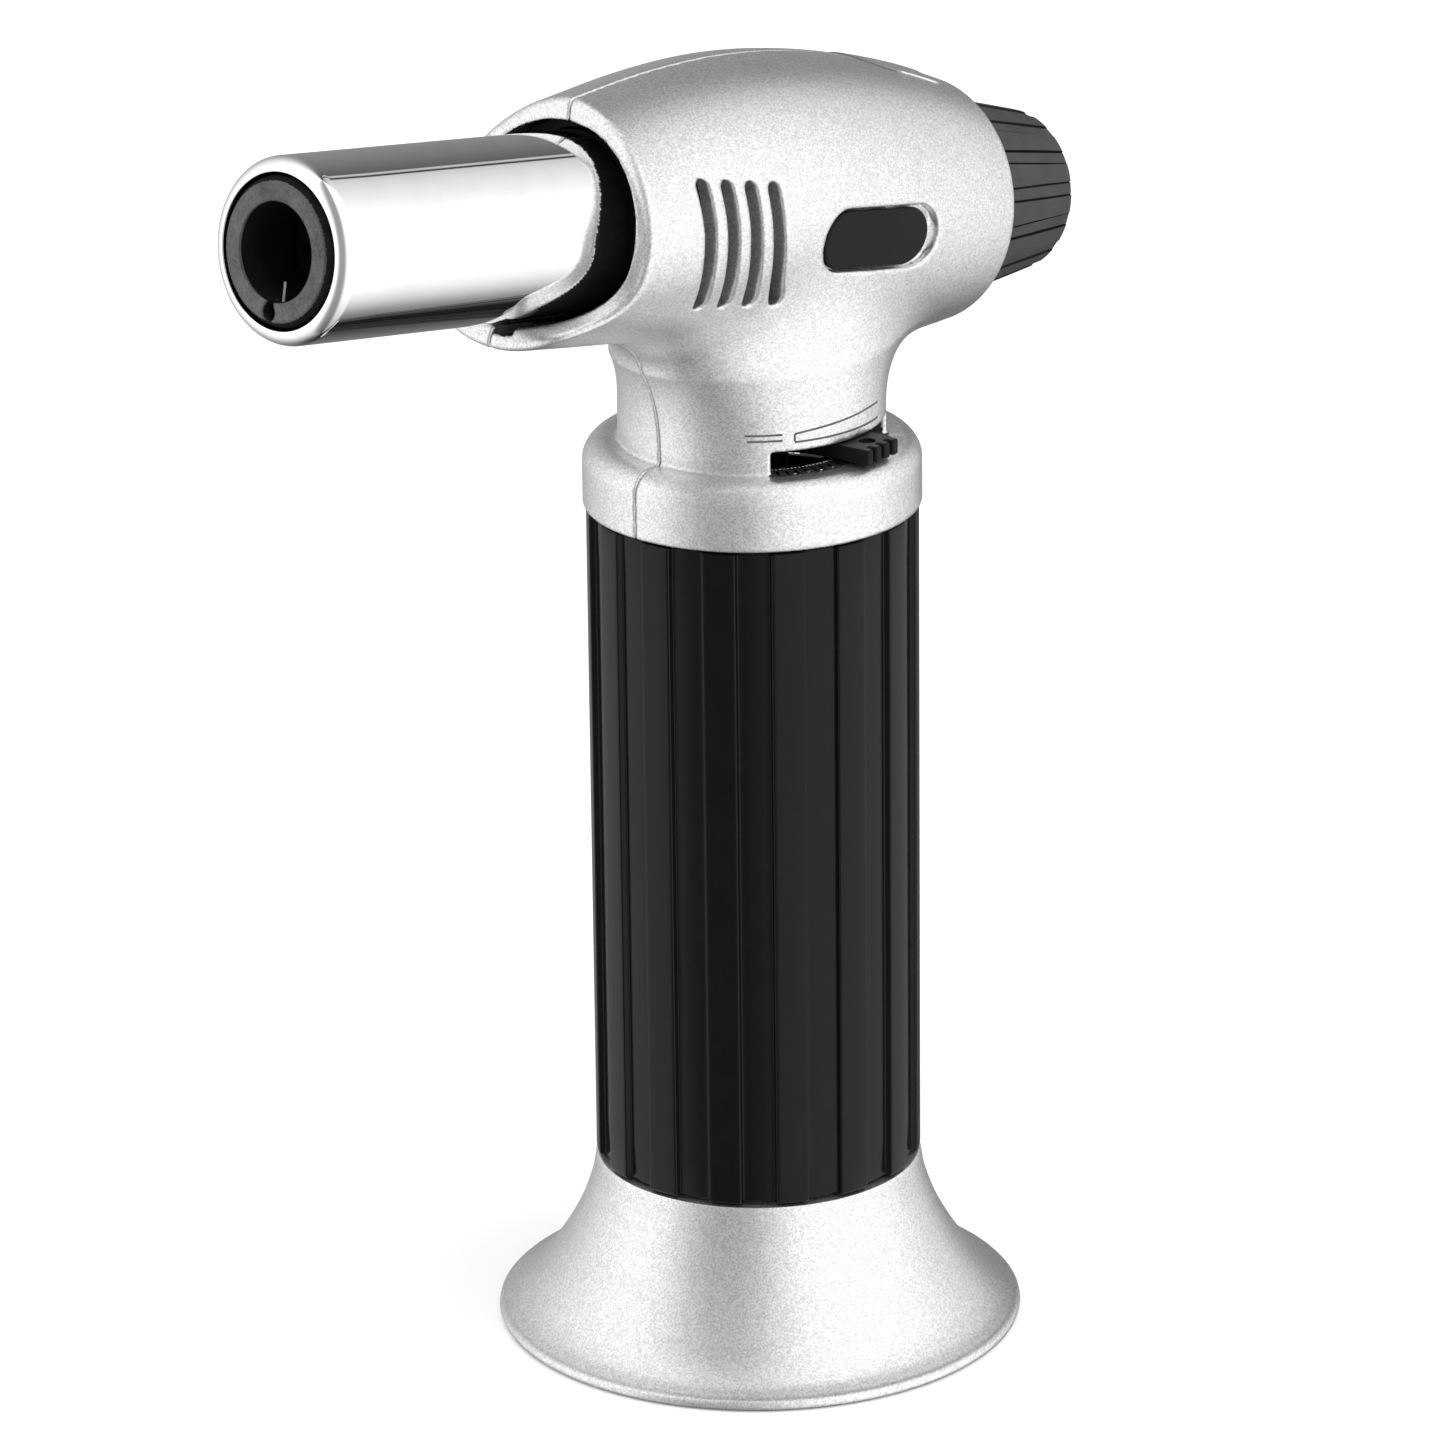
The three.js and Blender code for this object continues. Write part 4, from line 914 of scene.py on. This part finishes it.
def add_knob():
    """Tapered knob: shallow channels with a fine crease along each side, whose walls carry painted
    shade.
    """
    rear = REAR_FACE - KNOB_LENGTH
    end, base = KNOB_END_RADIUS, KNOB_BASE_RADIUS
    rows = [(0.02, rear + 0.02, 0), (end - 2.4, rear + 0.02, 0), (end - 1.3, rear + 0.03, 0),
            (end - 0.55, rear + 0.14, 0), (end, rear + 0.4, 0.3), (end + 0.28, rear + 0.8, 0.8),
            (end + 0.42, rear + 1.5, 1)]
    steps = 12
    for k in range(1, steps + 1):
        t = k / steps
        wide = end + 0.42 + (base - end - 0.43) * t
        rows.append((wide, rear + 1.5 + (KNOB_LENGTH - 1.5) * t, 1))
    rows += [(base - 0.01, KNOB_FRONT - 1.2, 1), (base - 0.3, KNOB_FRONT - 0.9, 0),
             (base - 0.6, KNOB_FRONT, 0), (11.2, KNOB_FRONT, 0), (KNOB_HOLLOW, rear + 2.4, 0),
             (KNOB_SPIGOT, rear + 2.4, 0), (KNOB_SPIGOT, SPIGOT_END, 0), (0.02, SPIGOT_END, 0)]
    half, depth = 0.95, 0.24
    one_side = [(half + 0.16, 0.0), (half + 0.04, 0.05), (half, 0.16), (half - 0.03, depth + 0.36),
                (half - 0.2, depth + 0.36), (half - 0.24, depth), (half - 0.55, depth)]
    channel = [(-reach, low) for reach, low in one_side] + one_side[::-1]
    land = [0.22, 0.28, 0.34, 0.4, 0.45, 0.5, 0.55, 0.6, 0.66, 0.72, 0.78]
    shape = ribbed_lathe(rows, KNOB_RIBS, channel, land, math.pi / KNOB_RIBS, True)
    pitch = 2 * math.pi / KNOB_RIBS

    # The walls of each crease get the near-black matte: painted shade.
    def crease_shade(p):
        radius = np.hypot(p[:, 1], p[:, 2])
        angle = np.arctan2(p[:, 2], p[:, 1]) / pitch - 0.5
        across = np.abs(angle - np.round(angle)) * pitch * radius
        outer = (p[:, 0] > rear + 0.1) & (p[:, 0] < KNOB_FRONT - 1) & (radius > 9)
        return outer & (across > half - 0.26) & (across < half + 0.02)
    make_piece("knob", shape, "knob", SATIN, ("ignition_knob",),
               knob_to_grip, sharp=35, inlay=(MATTE, crease_shade))


def lever_field(x, y, z):
    """Thumb lever drawn pointing along +X, turned into place afterwards."""
    radius = np.hypot(x, y)
    ring = np.maximum(radius - LEVER_RING, LEVER_BORE - radius)
    beside = np.abs(y) - ARM_HALF
    arm = np.maximum(beside, np.maximum(ARM_FROM - x, x - ARM_END))
    body = np.minimum(ring, round_cut(beside, arm, 0.3))
    body = round_cut(body, np.maximum(LEVER_BOTTOM - z, z - LEVER_TOP), 0.3)
    for i in range(LEVER_RIBS):
        across = np.abs(y - (i - (LEVER_RIBS - 1) / 2) * RIB_PITCH) - RIB_HALF
        rib = round_cut(across, np.maximum(RIB_FROM - x, x - RIB_END), 0.3)
        height = np.maximum(LEVER_BOTTOM + 0.02 - z, z - (LEVER_TOP - 0.1))
        body = np.minimum(body, round_cut(rib, height, 0.3))
    dimple = np.hypot(x - DIMPLE_X, y) - DIMPLE_RADIUS
    return round_cut(body, -np.maximum(dimple, LEVER_TOP - DIMPLE_DEPTH - z), 0.12)


def add_flame_lever():
    low, high = (-8.5, -8.5, LEVER_BOTTOM - 0.1), (20.5, 8.5, LEVER_TOP)
    points, faces = net(lever_field, low, high, 0.17)
    cos, sin = math.cos(LEVER_ANGLE), math.sin(LEVER_ANGLE)
    turned = points @ np.array([(cos, sin, 0), (-sin, cos, 0), (0, 0, 1)])

    # The top faces get a lighter black than the matte sides: painted light.
    def top(p):
        return p[:, 2] > LEVER_TOP - 0.12
    make_piece("thumb_lever", (turned, faces), "flame_adjuster", MATTE, ("flame_lever",),
               inlay=(LEVER_LIT_TOP, top))


def add_grip():
    """Ribbed sleeve with flat-bottomed channels and softened ends."""
    pitch = 2 * math.pi * GRIP_RADIUS / GRIP_RIBS
    half, deep = pitch * 0.25, GRIP_CHANNEL_DEPTH
    softened = [(0.45, 0), (0.13, 0.13), (0, 0.45)]
    rows = [(GRIP_RADIUS - inset, GRIP_BOTTOM + along, 1) for inset, along in softened]
    steps = 16
    rows += [(GRIP_RADIUS, GRIP_BOTTOM + (GRIP_TOP - GRIP_BOTTOM) * k / steps, 1)
             for k in range(1, steps)]
    rows += [(GRIP_RADIUS - inset, GRIP_TOP - along, 1) for inset, along in softened[::-1]]
    rows += [(GRIP_BORE, GRIP_TOP, 0), (GRIP_BORE, GRIP_BOTTOM, 0)]
    one_side = [(half + 0.28, 0.0), (half + 0.16, 0.03), (half + 0.07, 0.12),
                (half, 0.3), (half - 0.09, deep - 0.1), (half - 0.17, deep - 0.02),
                (half - 0.3, deep), (half * 0.6, deep), (half * 0.3, deep)]
    channel = [(-reach, low) for reach, low in one_side] + [(0, deep)] + one_side[::-1]
    land = [0.32, 0.38, 0.44, 0.5, 0.56, 0.62, 0.68]
    sleeve = ribbed_lathe(rows, GRIP_RIBS, channel, land, GRIP_RIB_PHASE + math.pi / GRIP_RIBS)
    make_piece("grip", sleeve, "torch", GRIP_BLACK, ("grip_sleeve",), sharp=55)


def add_base():
    """Flared stand, hollow below, with a socket for the grip and a hole for the valve."""
    rim = [(BASE_RADIUS - 0.75, 0), (BASE_RADIUS - 0.4, 0.08), (BASE_RADIUS - 0.12, 0.32),
           (BASE_RADIUS, 0.75), (BASE_RADIUS - 0.08, 1.1), (BASE_RADIUS - 0.33, 1.38),
           (BASE_RADIUS - 0.7, 1.5)]
    flare = smooth_curve([(33.0, 1.62), (31.3, 2.6), (29.4, 4.3), (27.5, 6.8), (25.4, 10),
                          (23.3, 14), (21.7, 18.5), (GRIP_RADIUS, BASE_TOP - 0.3)], 7)
    lip = [(GRIP_RADIUS - 0.12, BASE_TOP - 0.08), (GRIP_RADIUS - 0.4, BASE_TOP)]
    socket = [(GRIP_BORE + 0.3, BASE_TOP), (GRIP_BORE, BASE_TOP - 0.3), (GRIP_BORE, BASE_FLOOR)]
    hole = [(VALVE_HOLE + 0.2, BASE_FLOOR), (VALVE_HOLE, BASE_FLOOR - 0.2),
            (VALVE_HOLE, BASE_CEILING + 0.2), (VALVE_HOLE + 0.2, BASE_CEILING)]
    inside = smooth_curve([(21.8, BASE_CEILING), (24.6, 7), (27.2, 4), (29.4, 2.2), (31.2, 1)], 5)
    stand = lathe(rim + flare + lip + socket + hole + inside + [(31.6, 0)], 160)
    make_piece("base", stand, "torch", SILVER, ("base_stand",), sharp=40)


def add_fill_valve():
    """Filling valve in the base: finely turned body, stem and seal."""
    body = [(1.1, 6.5), (2.6, 6.5), (2.6, 10.2), (5, 10.2), (5, 11.7), (3, 11.7), (3, 22),
            (1.3, 22), (1.3, 20.5), (2.3, 20.5), (2.3, 9), (1.1, 9)]
    make_piece("filler_body", lathe(rounded(body, 0.15), 64), "torch", BRASS, ("fill_valve",),
               sharp=35)
    stem = [(0, 5.6), (0.75, 5.6), (0.75, 9.3), (1.9, 9.3), (1.9, 10.5), (0.75, 10.5),
            (0.75, 17), (0, 17)]
    make_piece("filler_stem", lathe(rounded(stem, 0.12), 48), "filler", BRASS, ("fill_stem",),
               sharp=35)
    seal = [(1.2, 5.6), (2.4, 5.6), (2.4, 6.2), (1.2, 6.2)]
    make_piece("filler_seal", lathe(rounded(seal, 0.2), 48), "torch", RUBBER, ("fill_seal",),
               sharp=35)


# ---- camera, floor and light ----
CAMERA_AZIMUTH, CAMERA_ELEVATION, CAMERA_ROLL = 133.3, 20.237, -0.634
CAMERA_PLACE = (0.669451, 0.639955, 0.426399)
LENS, SENSOR = 195.57, 36
FLOOR_RADIUS, FLOOR_SEGMENTS, BACKDROP_LEVELS = 9.0, 64, 8
OVERHEAD_HEIGHT, OVERHEAD_SIZE, OVERHEAD_WATTS = 1.9, 3.4, 38


def add_camera():
    """Long lens in front of the torch, on its left and a little above it."""
    azimuth, elevation = math.radians(CAMERA_AZIMUTH), math.radians(CAMERA_ELEVATION)
    roll = math.radians(CAMERA_ROLL)
    back = Vector((math.sin(azimuth) * math.cos(elevation),
                   -math.cos(azimuth) * math.cos(elevation), math.sin(elevation)))
    right = Vector((math.cos(azimuth), math.sin(azimuth), 0))
    up = back.cross(right)
    turned_right = right * math.cos(roll) + up * math.sin(roll)
    turned_up = up * math.cos(roll) - right * math.sin(roll)
    data = bpy.data.cameras.new("camera")
    data.sensor_width = SENSOR
    data.lens = LENS
    data.clip_start, data.clip_end = 0.05, 20
    camera = new_object("camera", data)
    place = Matrix((turned_right, turned_up, back)).transposed().to_4x4()
    place.translation = Vector(CAMERA_PLACE)
    camera.matrix_world = place
    bpy.context.scene.camera = camera


def add_stage_mesh(name, points, faces, material, camera_only=False):
    made = new_object(name, smooth_mesh(name, points, faces, material))
    made.visible_glossy = False
    if camera_only:
        made.visible_diffuse = False
        made.visible_shadow = False
        made.visible_transmission = False


def add_floor():
    """Pale floor, and a pale dome round it that only the camera sees."""
    turn = np.arange(FLOOR_SEGMENTS) * 2 * math.pi / FLOOR_SEGMENTS

    def circle(radius, height):
        return [(radius * math.cos(a), radius * math.sin(a), height) for a in turn]
    made = Nodes("studio_floor", (0.92, 0.92, 0.92), 0.0, 0.9)
    made.tint(made.noise(60.0, 2.0), (0.915, 0.915, 0.915), (0.93, 0.93, 0.93))
    made.put("Specular IOR Level", 0.0)
    disc = [tuple(range(FLOOR_SEGMENTS))]
    add_stage_mesh("floor", circle(FLOOR_RADIUS, 0), disc, made.material)
    paper = Nodes("studio_backdrop", (0, 0, 0), 0.0, 1.0)
    paper.put("Specular IOR Level", 0.0)
    paper.put("Emission Color", (0.97, 0.97, 0.97, 1)).put("Emission Strength", 1.0)
    dome = 0.98 * FLOOR_RADIUS
    points = []
    for i in range(BACKDROP_LEVELS + 1):
        lift = i * math.pi / 2 / BACKDROP_LEVELS
        points += circle(dome * math.cos(lift), dome * math.sin(lift) - 0.02)
    faces = rings_joined(BACKDROP_LEVELS + 1, FLOOR_SEGMENTS, BACKDROP_LEVELS)
    add_stage_mesh("backdrop", points, faces, paper.material, camera_only=True)


class WorldNodes:
    """Brightness of the studio by direction: azimuth from +X towards +Y, and elevation."""

    def __init__(self):
        world = bpy.data.worlds.new("studio")
        bpy.context.scene.world = world
        world.use_nodes = True
        self.tree = world.node_tree
        way = self.tree.nodes.new("ShaderNodeTexCoord").outputs["Generated"]
        split = add_node(self.tree, "ShaderNodeSeparateXYZ", {"Vector": way}).outputs
        turn = self.math("ARCTAN2", split["Y"], split["X"])
        self.azimuth = self.math("MULTIPLY", turn, 180 / math.pi)
        self.elevation = self.math("MULTIPLY", self.math("ARCSINE", split["Z"]), 180 / math.pi)

    def math(self, operation, a, b=0.0, c=0.5):
        made = add_node(self.tree, "ShaderNodeMath", {0: a, 1: b, 2: c}, operation=operation)
        return made.outputs[0]

    def about(self, azimuth):
        """Azimuth away from a direction, from -180 to 180."""
        return self.math("WRAP", self.math("SUBTRACT", self.azimuth, azimuth), 180.0, -180.0)

    def curve(self, source, stops):
        """Piecewise linear value of an angle: stops are (angle, value) in rising order."""
        low, high = stops[0][0], stops[-1][0]
        where = add_node(self.tree, "ShaderNodeMapRange", {
            "Value": source, "From Min": low, "From Max": high}).outputs["Result"]
        ramp = add_node(self.tree, "ShaderNodeValToRGB", {"Fac": where})
        ramp.color_ramp.interpolation = "LINEAR"
        elements = ramp.color_ramp.elements
        while len(elements) < len(stops):
            elements.new(0.5)
        for element, (angle, _) in zip(elements, stops):
            element.position = (angle - low) / (high - low)
        for element, (_, value) in zip(elements, stops):
            element.color = (value, value, value, 1)
        return ramp.outputs["Color"]


# Brightness round the horizon, by azimuth from the middle of the grey gap between the boxes.
AROUND = [(-180, 0.14), (-168, 0.20), (-157, 0.25), (-140, 0.38), (-120, 0.64), (-100, 0.9),
          (-82, 1.15), (-62, 1.38), (-38, 1.3), (-26, 0.62), (-14, 0.36), (16, 0.36), (28, 0.62),
          (40, 1.2), (60, 1.4), (110, 1.42), (140, 0.95), (160, 0.75), (169.5, 0.62), (170, 0.05),
          (172.5, 0.05), (173, 0.6), (174.5, 0.6), (175, 0.12), (180, 0.14)]
GAP = 20.0
# How fast the elevation runs through the shares below, by the same azimuth.
STRETCH = [(-180, 0.9), (-60, 0.8), (-20, 0.62), (118, 0.62), (146, 1.0), (180, 1.0)]
# Share of that brightness kept at each elevation.
UPRIGHT = [(-90, 0.08), (-60, 0.15), (-45, 0.42), (-36, 0.62), (-26, 0.8), (-12, 0.97), (0, 1.0),
           (45, 1.0), (62, 0.9), (75, 0.52), (90, 0.42)]


def add_overhead_light():
    """Soft light straight above, which doesn't show in reflections."""
    data = bpy.data.lights.new("overhead", "AREA")
    data.shape = "RECTANGLE"
    data.size = data.size_y = OVERHEAD_SIZE
    data.energy = OVERHEAD_WATTS
    light = new_object("overhead", data)
    light.location = (0, 0, OVERHEAD_HEIGHT)
    light.visible_glossy = False
    light.visible_camera = False


def add_lights():
    """Two soft boxes either side of a grey gap, painted by direction, and a light over all."""
    world = WorldNodes()
    away = world.about(GAP)
    around = world.curve(away, AROUND)
    stretched = world.math("MULTIPLY", world.elevation, world.curve(away, STRETCH))
    upright = world.curve(stretched, UPRIGHT)
    level = world.math("MULTIPLY", around, upright)
    background = world.tree.nodes["Background"]
    background.inputs["Color"].default_value = (1, 1, 1, 1)
    world.tree.links.new(level, background.inputs["Strength"])
    add_overhead_light()
    view = bpy.context.scene.view_settings
    view.view_transform = "Standard"
    view.look = "None"


dress_cad_nodes()
add_head()
add_badges()
add_screw_heads()
add_burner_tube()
add_burner_ring()
add_flame_marks()
add_pad_edges()
add_detent_track()
add_knob()
add_flame_lever()
add_grip()
add_base()
add_fill_valve()
add_camera()
add_floor()
add_lights()
